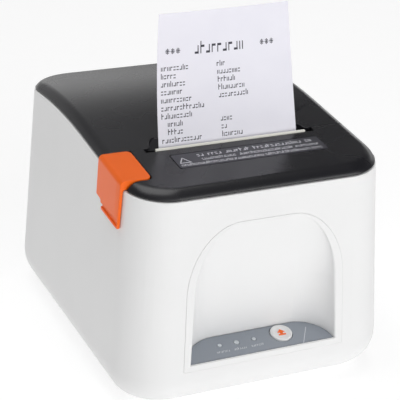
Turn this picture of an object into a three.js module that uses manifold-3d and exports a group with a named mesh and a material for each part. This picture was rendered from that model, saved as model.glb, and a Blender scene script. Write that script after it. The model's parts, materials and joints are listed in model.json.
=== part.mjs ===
// A desktop thermal receipt printer for 80 mm paper rolls, shut, with a printed slip standing in its mouth.
// Millimetres. X points to the printer's right side, Y to its back and Z up; heights below are measured from
// the underside of the casing, and the whole group is lifted by the feet at the end.
import * as THREE from 'three';
import { mergeVertices } from 'three/addons/utils/BufferGeometryUtils.js';
import Module from 'manifold-3d';

const wasm = await Module();
wasm.setup();

// ---------------------------------------------------------------- driving dimensions

const CASE = {
  halfWidth: 77.8,
  halfDepth: 97.3,
  cornerRadius: 25.5,
  wall: 2.5,
  // how far each wall leans inwards for every millimetre of height
  lean: { side: 0.0554, front: 0.0632, rear: 0.0706 },
  bottomRound: { side: 18.9, end: 22.8 },
  topRound: 6.7,
};

// The top rises in a straight line from the front edge and rolls off behind the crest.
const TOP = { frontHeight: 121.5, rise: 16.5, crest: 0.45, fall: 12.9 };

// The black top parts have a skirt of this depth; below it a narrow seam shows, then the white casing.
const SKIRT = 4.5;
const SEAM = 0.6;
const GAP = 0.3;
const FAR = 150;

const FOOT = { radius: 7, height: 1.5, sunk: 0.4, x: 46, y: 58 };
const BASE = { halfWidth: 54, halfDepth: 70, corner: 6, thickness: 2, ledge: 7 };
const SCREW = { headRadius: 2.7, shankRadius: 1.4, x: 50.5, y: 20 };

// The niche in the front wall: an arched frame around a hollow that is deepest at its sloping floor.
const ARCH = { bottom: 23.5, bottomHalf: 45.6, shoulder: 62, shoulderHalf: 44.2, flatHalf: 14, crown: 101.2 };
const NICHE = { bottomHalf: 41.9, shoulderHalf: 39.7, crown: 100.5, depth: 18.8, cornerWidth: 18, wall: 2 };
const PANEL = { frontY: -95.3, frontZ: 26.3, slope: THREE.MathUtils.degToRad(13), thickness: 2, lip: 0.7 };
const BUTTON = { x: 14.9, s: 11.0, radius: 6, travel: 0.8, markRadius: 2.7 };
const LIGHTS = [
  { name: 'status_light_1', x: -21.1, radius: 1.2 },
  { name: 'status_light_2', x: -11.4, radius: 1.5 },
  { name: 'status_light_3', x: -1.3, radius: 1.2 },
];
const LIGHT_S = 10.7;

const PAPER = { width: 79.5, thickness: 0.3, mouthY: -41.1, mouthZ: 124.6, endZ: 195.2 };
const ROLL = { y: 27, z: 58.4, radius: 34, coreRadius: 8, coreWall: 1.5 };
const BUCKET = { y: 27, z: 66, radius: 42, wall: 1.5, halfWidth: 42.5, frontRim: 96, rearRim: 108 };
const MOUTH = { lidEdgeY: -40.6, bezelEdgeY: -45.4, sideEdgeY: -41.2, halfWidth: 48.6, rearHalf: 44, rearY: -30 };
const TEAR_BAR = { halfWidth: 43, thickness: 1, bottom: 119.8, top: 126.5, toothDepth: 0.9, teeth: 28 };
const LABEL = { left: -38, right: 46, front: -66, rear: -51.8, thickness: 0.4 };

const PLATEN = { y: -34.5, z: 112, radius: 6, shaftRadius: 2.5, halfWidth: 40.6 };
const BUSH = { radius: 4, inner: 47.2, outer: 51.2 };
const FRAME_PLATE = { inner: 48.2, outer: 50.2 };
const GEAR = { module: 0.8, platenTeeth: 20, idlerTeeth: 20, pinionTeeth: 12, near: 52, far: 56 };

const LEVER = { front: -71.7, rear: -41.5, inner: -56, proud: 2.2, pivotY: -69.5, pivotZ: 119, pinRadius: 1 };
const HINGE = { y: 83.2, z: 96, eyeRadius: 4.2, pinRadius: 2, armInner: 46, armOuter: 50.5 };
const BOARD = { y: 76, thickness: 1.6, halfWidth: 58, bottom: 14, top: 84 };
const REAR_PANEL = { halfWidth: 47, bottom: 26, top: 50, y: 89.2, thickness: 1.4 };
const SOCKETS = [
  { name: 'power_inlet', x: -37, width: 14, height: 12, holeWidth: 9, holeHeight: 9 },
  { name: 'usb_socket', x: -18, width: 12, height: 11, holeWidth: 8.4, holeHeight: 7.6 },
  { name: 'network_socket', x: 0, width: 16, height: 14, holeWidth: 12, holeHeight: 9 },
  { name: 'drawer_socket', x: 19, width: 13, height: 12, holeWidth: 9.6, holeHeight: 7.4 },
];
const SOCKET_FLOOR = 31;
const SWITCH = { x: 39, y: 86, z: 38, halfWidth: 5.2, tilt: THREE.MathUtils.degToRad(9) };

const FINISHES = {
  whitePlastic: { color: 0xf0f0f0, roughness: 0.45, metalness: 0 },
  blackPlastic: { color: 0x2a2a2c, roughness: 0.35, metalness: 0 },
  greyPlastic: { color: 0x868c96, roughness: 0.4, metalness: 0 },
  orangePlastic: { color: 0xf0722c, roughness: 0.4, metalness: 0 },
  darkLabel: { color: 0x4b4a55, roughness: 0.5, metalness: 0 },
  lightPipe: { color: 0xd6dbe2, roughness: 0.2, metalness: 0 },
  rubber: { color: 0x222222, roughness: 0.9, metalness: 0 },
  steel: { color: 0xc8ccd0, roughness: 0.3, metalness: 1 },
  brass: { color: 0xc9a34e, roughness: 0.35, metalness: 1 },
  gearNylon: { color: 0xe4e2da, roughness: 0.5, metalness: 0 },
  board: { color: 0x1f6b3a, roughness: 0.5, metalness: 0 },
  paper: { color: 0xf2f1f6, roughness: 0.8, metalness: 0 },
  card: { color: 0xb79a6f, roughness: 0.9, metalness: 0 },
};

// ---------------------------------------------------------------- solids from three.js geometry

function solid(geometry) {
  geometry.deleteAttribute('normal');
  geometry.deleteAttribute('uv');
  const merged = mergeVertices(geometry, 1e-4);
  const mesh = new wasm.Mesh({
    numProp: 3,
    vertProperties: new Float32Array(merged.attributes.position.array),
    triVerts: new Uint32Array(merged.index.array),
  });
  return new wasm.Manifold(mesh);
}

function box(x0, x1, y0, y1, z0, z1) {
  const geometry = new THREE.BoxGeometry(x1 - x0, y1 - y0, z1 - z0);
  geometry.translate((x0 + x1) / 2, (y0 + y1) / 2, (z0 + z1) / 2);
  return solid(geometry);
}

function extrude(points, depth, basis, shift) {
  const shape = new THREE.Shape(points.map(([u, v]) => new THREE.Vector2(u, v)));
  const geometry = new THREE.ExtrudeGeometry(shape, { depth, bevelEnabled: false });
  const placed = new THREE.Matrix4().makeBasis(...basis).setPosition(shift);
  geometry.applyMatrix4(placed);
  return solid(geometry);
}

const X = new THREE.Vector3(1, 0, 0);
const Y = new THREE.Vector3(0, 1, 0);
const Z = new THREE.Vector3(0, 0, 1);

// An outline of [y, z] points carried along X, of [x, z] points along Y, and of [x, y] points along Z.
function alongX(points, x0, x1) {
  return extrude(points, x1 - x0, [Y, Z, X], new THREE.Vector3(x0, 0, 0));
}

function alongY(points, y0, y1) {
  return extrude(points, y1 - y0, [X, Z, Y.clone().negate()], new THREE.Vector3(0, y1, 0));
}

function alongZ(points, z0, z1) {
  return extrude(points, z1 - z0, [X, Y, Z], new THREE.Vector3(0, 0, z0));
}

function circle(u, v, radius, steps = 24) {
  return Array.from({ length: steps }, (_, i) => {
    const angle = (2 * Math.PI * i) / steps;
    return [u + radius * Math.cos(angle), v + radius * Math.sin(angle)];
  });
}

function arc(u, v, radiusU, radiusV, from, to, steps) {
  return Array.from({ length: steps + 1 }, (_, i) => {
    const angle = THREE.MathUtils.degToRad(from + ((to - from) * i) / steps);
    return [u + radiusU * Math.cos(angle), v + radiusV * Math.sin(angle)];
  });
}

function rodX(y, z, radius, x0, x1, steps) {
  return alongX(circle(y, z, radius, steps), x0, x1);
}

function roundedRectangle(halfWidth, halfDepth, radius) {
  const x = halfWidth - radius;
  const y = halfDepth - radius;
  return [
    ...arc(x, y, radius, radius, 0, 90, 4),
    ...arc(-x, y, radius, radius, 90, 180, 4),
    ...arc(-x, -y, radius, radius, 180, 270, 4),
    ...arc(x, -y, radius, radius, 270, 360, 4),
  ];
}

// A closed skin over a stack of rings that all have the same number of points.
// Each end is closed by strips that join every point to its partner on the other side of the ring.
function loft(rings) {
  const count = rings[0].length;
  const positions = rings.flat(2);
  const faces = [];
  const quad = (a, b, c, d) => faces.push(a, b, c, a, c, d);
  for (let level = 0; level + 1 < rings.length; level += 1) {
    for (let i = 0; i < count; i += 1) {
      const next = (i + 1) % count;
      quad(level * count + i, level * count + next, (level + 1) * count + next, (level + 1) * count + i);
    }
  }
  const last = (rings.length - 1) * count;
  for (let i = 0; i + 1 < count / 2; i += 1) {
    const partner = count - 1 - i;
    quad(i, partner, partner - 1, i + 1);
    quad(last + i, last + i + 1, last + partner - 1, last + partner);
  }
  const geometry = new THREE.BufferGeometry();
  geometry.setAttribute('position', new THREE.Float32BufferAttribute(positions, 3));
  geometry.setIndex(faces);
  return solid(geometry);
}

// A round wire wound along an axis, as a closed tube of square-ish section.
function coil(centre, axis, across, radius, wire, length, turns) {
  const other = new THREE.Vector3().crossVectors(axis, across);
  const steps = turns * 9;
  const points = Array.from({ length: steps + 1 }, (_, i) => {
    const angle = (2 * Math.PI * turns * i) / steps;
    return centre.clone()
      .addScaledVector(axis, (length * i) / steps - length / 2)
      .addScaledVector(across, radius * Math.cos(angle))
      .addScaledVector(other, radius * Math.sin(angle));
  });
  const section = new THREE.Shape(circle(0, 0, wire / 2, 5).map(([u, v]) => new THREE.Vector2(u, v)));
  const extrudePath = new THREE.CatmullRomCurve3(points);
  return solid(new THREE.ExtrudeGeometry(section, { steps, extrudePath, bevelEnabled: false }));
}

// ---------------------------------------------------------------- the casing's outer form

// Height of the top at a depth y measured before the walls are leaned in.
function topHeight(y) {
  const t = (y + CASE.halfDepth) / (2 * CASE.halfDepth);
  const past = Math.max(t - TOP.crest, 0) / (1 - TOP.crest);
  return TOP.frontHeight + TOP.rise * t - TOP.fall * past * past;
}

function leanIn(x, y, z) {
  const lean = y < 0 ? CASE.lean.front : CASE.lean.rear;
  return [x * (1 - (CASE.lean.side * z) / CASE.halfWidth), y * (1 - (lean * z) / CASE.halfDepth), z];
}

function caseRing(halfWidth, halfDepth, radius, height) {
  const x = halfWidth - radius;
  const y = halfDepth - radius;
  const sideSteps = 8;
  const side = Array.from({ length: sideSteps - 1 }, (_, i) => [halfWidth, -y + (2 * y * (i + 1)) / sideSteps]);
  const right = [...arc(x, -y, radius, radius, -90, 0, 6), ...side, ...arc(x, y, radius, radius, 0, 90, 6)];
  const left = right.map(([u, v]) => [-u, v]).reverse();
  return [...right, ...left].map(([u, v]) => leanIn(u, v, height(v)));
}

// The casing's form, drawn in by `inset` all round (or grown, where it is negative).
function hull(inset, topInset = inset, topRound = Math.max(CASE.topRound - inset, 1)) {
  const halfWidth = CASE.halfWidth - inset;
  const halfDepth = CASE.halfDepth - inset;
  const radius = CASE.cornerRadius - inset;
  const sideRound = CASE.bottomRound.side - inset;
  const endRound = CASE.bottomRound.end - inset;
  const rings = [];
  const bottomSteps = 5;
  for (let i = 0; i <= bottomSteps; i += 1) {
    const angle = (Math.PI / 2) * (i / bottomSteps);
    const drawn = 1 - Math.sin(angle);
    const height = inset + ((sideRound + endRound) / 2) * (1 - Math.cos(angle));
    const ringRadius = radius - (sideRound * drawn) / 2;
    rings.push(caseRing(halfWidth - sideRound * drawn, halfDepth - endRound * drawn, ringRadius, () => height));
  }
  const topSteps = 4;
  for (let i = 0; i <= topSteps; i += 1) {
    const angle = (Math.PI / 2) * (i / topSteps);
    const drawn = topRound * (1 - Math.cos(angle));
    const below = topInset + topRound * (1 - Math.sin(angle));
    rings.push(caseRing(halfWidth - drawn, halfDepth - drawn, radius - drawn / 2, (y) => topHeight(y) - below));
  }
  return loft(rings);
}

// Everything below a sheet that follows the top at a given depth under it.
function underTop(depth) {
  const steps = 24;
  const reach = CASE.halfDepth + 14;
  const sheet = Array.from({ length: steps + 1 }, (_, i) => {
    const y = -reach + (2 * reach * i) / steps;
    const [, leaned, z] = leanIn(0, y, topHeight(y) - depth);
    return [leaned, z];
  });
  return alongX([[-FAR, -10], [FAR, -10], [FAR, sheet.at(-1)[1]], ...sheet.reverse(), [-FAR, sheet.at(-1)[1]]], -FAR, FAR);
}

const caseOutside = hull(0);
const caseSkin = caseOutside.subtract(hull(CASE.wall));
const topSkin = caseSkin.subtract(underTop(SKIRT));

// ---------------------------------------------------------------- casing, base, feet and screws

function corners(halfX, halfY) {
  return [[-halfX, -halfY], [halfX, -halfY], [halfX, halfY], [-halfX, halfY]];
}

function bodyShell() {
  const ledgeTop = BASE.thickness + GAP + 2.7;
  const ledgeOutline = roundedRectangle(BASE.halfWidth + 2, BASE.halfDepth + 2, BASE.corner);
  const ledgeHole = roundedRectangle(BASE.halfWidth - BASE.ledge, BASE.halfDepth - BASE.ledge, BASE.corner);
  const ledge = alongZ(ledgeOutline, BASE.thickness + GAP, ledgeTop).subtract(alongZ(ledgeHole, 0, ledgeTop + 1));
  const underside = alongZ(roundedRectangle(BASE.halfWidth, BASE.halfDepth, BASE.corner), -1, CASE.wall + 1);
  let shell = caseSkin.intersect(underTop(SKIRT + SEAM)).subtract(underside).add(ledge);
  for (const [x, y] of corners(SCREW.x, SCREW.y)) {
    shell = shell.subtract(alongZ(circle(x, y, SCREW.shankRadius + 0.15, 12), 0, ledgeTop + 1));
  }
  shell = shell.subtract(alongY(archOutline(GAP), -FAR, -CASE.halfDepth + 30));
  const { halfWidth, bottom, top } = REAR_PANEL;
  shell = shell.subtract(box(-halfWidth, halfWidth, 80, FAR, bottom, top));
  return shell.add(hingeBoss(-1)).add(hingeBoss(1));
}

// A boss on the inside of the rear wall that carries one hinge pin of the lid.
function hingeBoss(side) {
  const near = HINGE.armOuter + 0.8;
  const reach = alongX([[78.5, 90], [90, 86], [90, 106], [78.5, 101]], Math.min(side * near, side * (near + 4)),
    Math.max(side * near, side * (near + 4)));
  const hole = rodX(HINGE.y, HINGE.z, HINGE.pinRadius + 0.15, -FAR, FAR, 20);
  return reach.intersect(hull(1)).subtract(hole);
}

function basePlate() {
  const outline = roundedRectangle(BASE.halfWidth - GAP, BASE.halfDepth - GAP, BASE.corner);
  let plate = alongZ(outline, 0, BASE.thickness);
  for (const [x, y] of corners(FOOT.x, FOOT.y)) {
    plate = plate.subtract(alongZ(circle(x, y, FOOT.radius + GAP, 28), -1, FOOT.sunk + 0.2));
  }
  for (const [x, y] of corners(SCREW.x, SCREW.y)) {
    plate = plate.subtract(alongZ(circle(x, y, SCREW.headRadius + GAP / 2, 18), -1, 1.1));
    plate = plate.subtract(alongZ(circle(x, y, SCREW.shankRadius + GAP, 12), -1, 3));
  }
  const rib = box(-1, 1, -60, 60, BASE.thickness - 0.5, BASE.thickness + 2);
  return plate.add(rib).add(box(-44, 44, -31, -29, BASE.thickness - 0.5, BASE.thickness + 2));
}

function foot(x, y) {
  const profile = [[0, -FOOT.height], [FOOT.radius - 0.6, -FOOT.height], [FOOT.radius, -FOOT.height + 0.6],
    [FOOT.radius, FOOT.sunk], [0, FOOT.sunk]];
  return turned(profile, 28).translate([x, y, 0]);
}

// A profile of [radius, height] points turned about Z.
function turned(profile, steps = 24) {
  const geometry = new THREE.LatheGeometry(profile.map(([r, h]) => new THREE.Vector2(r, h)), steps);
  geometry.rotateX(Math.PI / 2);
  return solid(geometry);
}

function baseScrew(x, y) {
  const { headRadius, shankRadius } = SCREW;
  const slot = box(-headRadius, headRadius, -0.35, 0.35, -1, 0.5);
  const profile = [[0, 0.15], [headRadius, 0.15], [headRadius, 0.95], [shankRadius, 0.95], [shankRadius, 5.4],
    [shankRadius - 0.5, 6], [0, 6]];
  return turned(profile, 16).subtract(slot).translate([x, y, 0]);
}

// ---------------------------------------------------------------- the niche and its control panel

function archOutline(grow) {
  const radiusX = ARCH.shoulderHalf - ARCH.flatHalf + grow;
  const radiusZ = ARCH.crown - ARCH.shoulder + grow;
  const right = arc(ARCH.flatHalf, ARCH.shoulder, radiusX, radiusZ, 0, 90, 9);
  const left = right.map(([x, z]) => [-x, z]).reverse();
  const foot = ARCH.bottomHalf + grow;
  return [[-foot, ARCH.bottom - grow], [foot, ARCH.bottom - grow], ...right, ...left];
}

function nicheHalfWidth(z) {
  if (z < ARCH.shoulder) {
    const t = (z - ARCH.bottom) / (ARCH.shoulder - ARCH.bottom);
    return THREE.MathUtils.lerp(NICHE.bottomHalf, NICHE.shoulderHalf, t);
  }
  const t = Math.min((z - ARCH.shoulder) / (NICHE.crown - ARCH.shoulder), 1);
  return ARCH.flatHalf + (NICHE.shoulderHalf - ARCH.flatHalf) * Math.sqrt(1 - t * t);
}

// The hollow of the niche: each level is a D in plan, shallower towards the crown.
function nicheHollow(grow) {
  const bottom = 10;
  const levels = [bottom, ARCH.bottom, 44, ARCH.shoulder, 72, 81, 88, 93.5, 97.5, 99.7, NICHE.crown + grow / 2];
  const rings = levels.map((z) => {
    const halfWidth = nicheHalfWidth(z) + grow;
    const wallY = -CASE.halfDepth + CASE.lean.front * z;
    const depth = (NICHE.depth * Math.max(NICHE.crown - z, 0)) / (NICHE.crown - PANEL.frontZ) + grow;
    const corner = Math.min(NICHE.cornerWidth, halfWidth - 1);
    const curve = arc(halfWidth - corner, wallY, corner, Math.max(depth, 0.05), 0, 90, 7);
    const right = [[halfWidth, -FAR], ...curve];
    const left = right.map(([x, y]) => [-x, y]).reverse();
    return [...right, ...left].map(([x, y]) => [x, y, z]);
  });
  return loft(rings);
}

function panelHeight(y) {
  return PANEL.frontZ + Math.tan(PANEL.slope) * (y - PANEL.frontY);
}

// Everything above the plane of the panel, moved by `offset` along the plane's normal.
function abovePanel(offset) {
  const raise = offset / Math.cos(PANEL.slope);
  const far = PANEL.frontY + 60;
  return alongX([[-FAR, panelHeight(-FAR) + raise], [far, panelHeight(far) + raise], [far, FAR], [-FAR, FAR]], -FAR, FAR);
}

// Moves a solid from panel axes (x, distance up the slope, height over the panel) to the printer's axes.
function ontoPanel(shape) {
  const degrees = THREE.MathUtils.radToDeg(PANEL.slope);
  return shape.rotate([degrees, 0, 0]).translate([0, PANEL.frontY, PANEL.frontZ]);
}

const PANEL_SEAT = -PANEL.thickness - GAP;

function nicheInsert() {
  const arch = alongY(archOutline(0), -FAR, -CASE.halfDepth + 30);
  const behindLip = box(-FAR, FAR, PANEL.frontY + PANEL.lip, FAR, -10, FAR);
  const hollow = nicheHollow(0);
  const open = hollow.intersect(abovePanel(0));
  const seat = hollow.intersect(abovePanel(PANEL_SEAT)).intersect(behindLip);
  const walls = nicheHollow(NICHE.wall).intersect(abovePanel(PANEL_SEAT - 1.6));
  const window = ontoPanel(box(-26, 24, 3.2, 18.4, -8, 0));
  return caseSkin.add(walls).intersect(arch).intersect(caseOutside).subtract(open).subtract(seat).subtract(window);
}

function controlPanel() {
  const slab = abovePanel(-PANEL.thickness).subtract(abovePanel(0));
  const behindLip = box(-FAR, FAR, PANEL.frontY + PANEL.lip + GAP, FAR, -10, FAR);
  let panel = nicheHollow(-GAP).intersect(slab).intersect(behindLip);
  panel = panel.subtract(ontoPanel(alongZ(circle(BUTTON.x, BUTTON.s, BUTTON.radius + GAP, 32), -5, 5)));
  for (const light of LIGHTS) {
    panel = panel.subtract(ontoPanel(alongZ(circle(light.x, LIGHT_S, light.radius + 0.15, 16), -5, 5)));
  }
  return panel;
}

function feedButton() {
  const { radius, markRadius } = BUTTON;
  const profile = [[0, -4.6], [2, -4.6], [2, -3.6], [radius + 1.2, -3.6], [radius + 1.2, -2.5], [radius, -2.5],
    [radius, 0.4], [radius - 0.2, 0.75], [radius - 0.7, 0.95], [markRadius + 0.15, 0.95], [markRadius + 0.15, 0.5],
    [0, 0.5]];
  return ontoPanel(turned(profile, 32).translate([BUTTON.x, BUTTON.s, 0]));
}

function buttonInlay() {
  return ontoPanel(alongZ(circle(BUTTON.x, BUTTON.s, BUTTON.markRadius, 24), 0.6, 1));
}

function statusLight({ x, radius }) {
  const profile = [[0, -5.2], [radius, -5.2], [radius, 0.1], [radius * 0.6, 0.25], [0, 0.25]];
  return ontoPanel(turned(profile, 16).translate([x, LIGHT_S, 0]));
}

function controlBoard() {
  const board = box(-30, 28, 3, 18, -8.6, -7.2);
  const keySwitch = box(BUTTON.x - 3, BUTTON.x + 3, BUTTON.s - 3, BUTTON.s + 3, -7.3, -5.7);
  const lamps = LIGHTS.map(({ x }) => box(x - 1, x + 1, LIGHT_S - 1, LIGHT_S + 1, -7.3, -5.6));
  return ontoPanel(lamps.reduce((sum, lamp) => sum.add(lamp), board.add(keySwitch)));
}

// ---------------------------------------------------------------- bezel, tear bar, label and release lever

function labelPrint(grow) {
  return box(LABEL.left - grow, LABEL.right + grow, LABEL.front - grow, LABEL.rear + grow, 100, FAR);
}

function frontBezel() {
  const { halfWidth, bezelEdgeY, sideEdgeY } = MOUTH;
  const notchFront = LEVER.front - 0.9;
  const notchInner = LEVER.inner + 0.5;
  const plan = [[-FAR, -FAR], [FAR, -FAR], [FAR, sideEdgeY], [halfWidth, sideEdgeY], [halfWidth, bezelEdgeY],
    [-halfWidth, bezelEdgeY], [-halfWidth, sideEdgeY], [notchInner, sideEdgeY], [notchInner, notchFront],
    [-FAR, notchFront]];
  const guideWall = box(-halfWidth, halfWidth, bezelEdgeY - 2, bezelEdgeY, 114, FAR).intersect(caseOutside);
  const pinBoss = box(-48, -44, LEVER.pivotY - 3, LEVER.pivotY + 3, LEVER.pivotZ - 3, FAR).intersect(hull(1));
  const pinHole = rodX(LEVER.pivotY, LEVER.pivotZ, LEVER.pinRadius + 0.15, -FAR, FAR, 12);
  const labelSeat = labelPrint(GAP).subtract(underTop(LABEL.thickness + 0.1));
  const skin = topSkin.intersect(alongZ(plan, 0, FAR));
  return skin.add(guideWall.subtract(underTop(20))).add(pinBoss).subtract(pinHole).subtract(labelSeat);
}

function tearBar() {
  const { halfWidth, thickness, bottom, top, toothDepth, teeth } = TEAR_BAR;
  const pitch = (2 * halfWidth) / teeth;
  const edge = Array.from({ length: 2 * teeth + 1 }, (_, i) => {
    return [halfWidth - (pitch * i) / 2, i % 2 ? top : top - toothDepth];
  });
  const front = MOUTH.bezelEdgeY + GAP;
  return alongY([[-halfWidth, bottom], [halfWidth, bottom], ...edge], front, front + thickness);
}

function labelPlate() {
  return labelPrint(0).intersect(underTop(-0.05)).subtract(underTop(LABEL.thickness));
}

function releaseLever() {
  const { front, rear, inner, proud, pivotY, pivotZ, pinRadius } = LEVER;
  const outside = hull(-proud, -0.25, 2.4);
  const side = alongX([[rear, FAR], [rear, 105.2], [rear - 6, 104.4], [rear - 7.6, 99.5], [front + 0.3, 98],
    [front, 111.3], [front, FAR]], -FAR, inner);
  const covered = hull(-0.5).intersect(underTop(SKIRT));
  const lug = box(-67.4, -58, pivotY - 2.6, pivotY + 2.6, pivotZ - 2.6, pivotZ + 1);
  const hole = rodX(pivotY, pivotZ, pinRadius + 0.15, -67.8, -40, 12);
  const lever = outside.intersect(side).subtract(covered).add(lug).subtract(hole);
  return lever.subtract(fingerFacet());
}

// The wing's lower edge is undercut, highest at the front, so that a finger can lift it.
function fingerFacet() {
  const section = (y, top, bottom, depth) => {
    const outer = -CASE.halfWidth + CASE.lean.side * top - LEVER.proud;
    return [[outer - 1, y, 90], [outer + depth, y, 90], [outer + depth, y, bottom],
      [outer - 1, y, top + (top - bottom) / depth]];
  };
  return loft([section(LEVER.rear, 102.0, 99.3, 1.3), section(LEVER.front - 1, 101.6, 97.8, 1.3)]);
}

// ---------------------------------------------------------------- lid, hinge and platen

function scoop(grow) {
  const { halfWidth, rearHalf, rearY } = MOUTH;
  const corner = 9 + grow;
  const rear = rearY + grow;
  const rearX = rearHalf + grow;
  const frontX = halfWidth + grow;
  const plan = [[-frontX, -46], [frontX, -46], ...arc(rearX - corner, rear - corner, corner, corner, 0, 90, 4),
    ...arc(corner - rearX, rear - corner, corner, corner, 90, 180, 4)];
  const drop = 1.3 * grow;
  const slope = [[-46, 114.2 - drop], [MOUTH.lidEdgeY, 118.6 - drop], [rearY, 127.3 - drop], [rearY + 6, FAR],
    [-46, FAR]];
  return alongZ(plan, 100, FAR).intersect(alongX(slope, -FAR, FAR));
}

function lid() {
  const behindMouth = box(-FAR, FAR, MOUTH.lidEdgeY, FAR, 0, FAR);
  const scoopWall = scoop(2).intersect(caseOutside).intersect(behindMouth);
  const cover = topSkin.intersect(behindMouth).add(scoopWall).subtract(scoop(0));
  return cover.add(hingeArm(-1)).add(hingeArm(1));
}

// A gooseneck arm: down from the lid, then back under the rear rim to the pin, so it clears the rim when open.
function hingeArm(side) {
  const { y, z, eyeRadius, pinRadius, armInner, armOuter } = HINGE;
  const outline = [...arc(y, z, eyeRadius, eyeRadius, -90, 90, 8), [y - 22, z + eyeRadius], [y - 22, 127.6],
    [y - 28, 128], [y - 28, z - eyeRadius]];
  const arm = alongX(outline, Math.min(side * armInner, side * armOuter), Math.max(side * armInner, side * armOuter));
  return arm.subtract(rodX(y, z, pinRadius + 0.15, -FAR, FAR, 20));
}

function hingePin(side) {
  const inner = side * (HINGE.armInner - 0.5);
  const outer = side * (HINGE.armOuter + 4.6);
  return rodX(HINGE.y, HINGE.z, HINGE.pinRadius, Math.min(inner, outer), Math.max(inner, outer), 20);
}

function lidLiner() {
  const sheet = hull(CASE.wall + 0.4).subtract(hull(CASE.wall + 1.9));
  return sheet.intersect(box(-43, 43, -20, 50, 112, FAR));
}

function platenBracket() {
  const { y, z, shaftRadius } = PLATEN;
  const cheek = [[y - 5, z - 5.5], [y + 10.5, z - 5.5], [y + 10.5, z + 10], [y + 7.5, z + 10], [y + 4, z + 5.5],
    [y - 3, z + 3.6], [y - 5, z + 1]];
  const cheeks = alongX(cheek, -46.4, -43.6).add(alongX(cheek, 43.6, 46.4));
  const bridge = box(-46.4, 46.4, y + 8.5, y + 10.5, z - 5.5, z + 10);
  return cheeks.add(bridge).subtract(rodX(y, z, shaftRadius + 0.2, -FAR, FAR, 20));
}

function ring(inner, outer, x0, x1, y, z, steps) {
  return rodX(y, z, outer, x0, x1, steps).subtract(rodX(y, z, inner, x0 - 1, x1 + 1, steps));
}

function platenShaft() {
  return rodX(PLATEN.y, PLATEN.z, PLATEN.shaftRadius, -52, 57, 20);
}

function shaftBush(side) {
  const [x0, x1] = side < 0 ? [-BUSH.outer, -BUSH.inner] : [BUSH.inner, BUSH.outer];
  return ring(PLATEN.shaftRadius + 0.2, BUSH.radius, x0, x1, PLATEN.y, PLATEN.z, 20);
}

// ---------------------------------------------------------------- drive train

// A spur gear about X with short, thin teeth. One tooth is centred on `phase` (radians from +Y towards +Z).
function spurGear(teeth, y, z, phase, boreRadius, x0 = GEAR.near, x1 = GEAR.far) {
  const pitchRadius = (GEAR.module * teeth) / 2;
  const root = pitchRadius - 1.1 * GEAR.module;
  const tip = pitchRadius + 0.7 * GEAR.module;
  const step = (2 * Math.PI) / teeth;
  const outline = [];
  for (let i = 0; i < teeth; i += 1) {
    const centre = phase + i * step;
    for (const [radius, share] of [[root, -0.27], [tip, -0.1], [tip, 0.1], [root, 0.27]]) {
      outline.push([y + radius * Math.cos(centre + share * step), z + radius * Math.sin(centre + share * step)]);
    }
  }
  return alongX(outline, x0, x1).subtract(rodX(y, z, boreRadius, x0 - 1, x1 + 1, 16));
}

// Places the three gears in a chain and turns each so that its teeth sit in its neighbour's gaps.
function gearTrain() {
  const reach = (teethA, teethB) => (GEAR.module * (teethA + teethB)) / 2;
  const down = THREE.MathUtils.degToRad(263.2);
  const back = THREE.MathUtils.degToRad(-65);
  const first = reach(GEAR.platenTeeth, GEAR.idlerTeeth);
  const second = reach(GEAR.idlerTeeth, GEAR.pinionTeeth);
  const idler = { y: PLATEN.y + first * Math.cos(down), z: PLATEN.z + first * Math.sin(down) };
  const pinion = { y: idler.y + second * Math.cos(back), z: idler.z + second * Math.sin(back) };
  const idlerStep = (2 * Math.PI) / GEAR.idlerTeeth;
  const pinionStep = (2 * Math.PI) / GEAR.pinionTeeth;
  idler.phase = down + Math.PI + idlerStep / 2;
  const ahead = (idler.phase - back) / idlerStep;
  pinion.phase = back + Math.PI - (ahead - Math.round(ahead)) * pinionStep + pinionStep / 2;
  return { platen: { y: PLATEN.y, z: PLATEN.z, phase: down }, idler, pinion };
}

const TRAIN = gearTrain();

function motorPinion() {
  const { y, z, phase } = TRAIN.pinion;
  const gear = spurGear(GEAR.pinionTeeth, y, z, phase, 1, GEAR.near, GEAR.far + 0.5);
  return gear.add(rodX(y, z, 1.5, 43, GEAR.far + 1.5, 16));
}

function feedMotor() {
  const { y, z } = TRAIN.pinion;
  const can = rodX(y, z, 13.6, 25.5, 46.4, 32);
  const flange = alongX(roundedRectangle(17.5, 6, 4).map(([u, v]) => [y + u, z + v]), 46.2, 47.7);
  return can.add(flange).subtract(rodX(y, z, 1.8, 42, 50, 16));
}

function idlerPin() {
  return rodX(TRAIN.idler.y, TRAIN.idler.z, 2, 46.5, GEAR.far + 1.5, 16);
}

function mechFrame() {
  const { inner, outer } = FRAME_PLATE;
  const { y, z } = PLATEN;
  const slot = BUSH.radius + GAP;
  const plate = [[-56, 66], [-46, 60], [-46, 5.4], [-24, 5.4], [-24, 60], [-18, 66], [-18, 110], [y + slot + 1.4, 118],
    [y + slot, z], [y + slot, z - slot], [y - slot, z - slot], [y - slot, 115.3], [-44.6, 115.3], [-44.6, 112.5],
    [-56, 112.5]];
  const plates = alongX(plate, -outer, -inner).add(alongX(plate, inner, outer));
  const front = box(-outer, outer, -56, -54.5, 80, 112.5);
  const idlerHole = rodX(TRAIN.idler.y, TRAIN.idler.z, 2.15, 40, FAR, 16);
  const motorHole = rodX(TRAIN.pinion.y, TRAIN.pinion.z, 4, 40, FAR, 20);
  return plates.add(front).subtract(idlerHole).subtract(motorHole);
}

function printHead() {
  const plate = box(-41.2, 41.2, -45, -42.4, 98, 118);
  const heater = box(-40, 40, -42.6, PAPER.mouthY - PAPER.thickness / 2 - 0.25, 109, 115);
  return plate.add(heater);
}

function headSpring(x) {
  return coil(new THREE.Vector3(x, -49.75, 106), Y, X, 3, 0.8, 8, 4);
}

function leverSpring() {
  const centre = new THREE.Vector3(-52, LEVER.pivotY, LEVER.pivotZ);
  return coil(centre, X, Y, 1.6, 0.5, 5.4, 5);
}

// ---------------------------------------------------------------- paper

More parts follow.
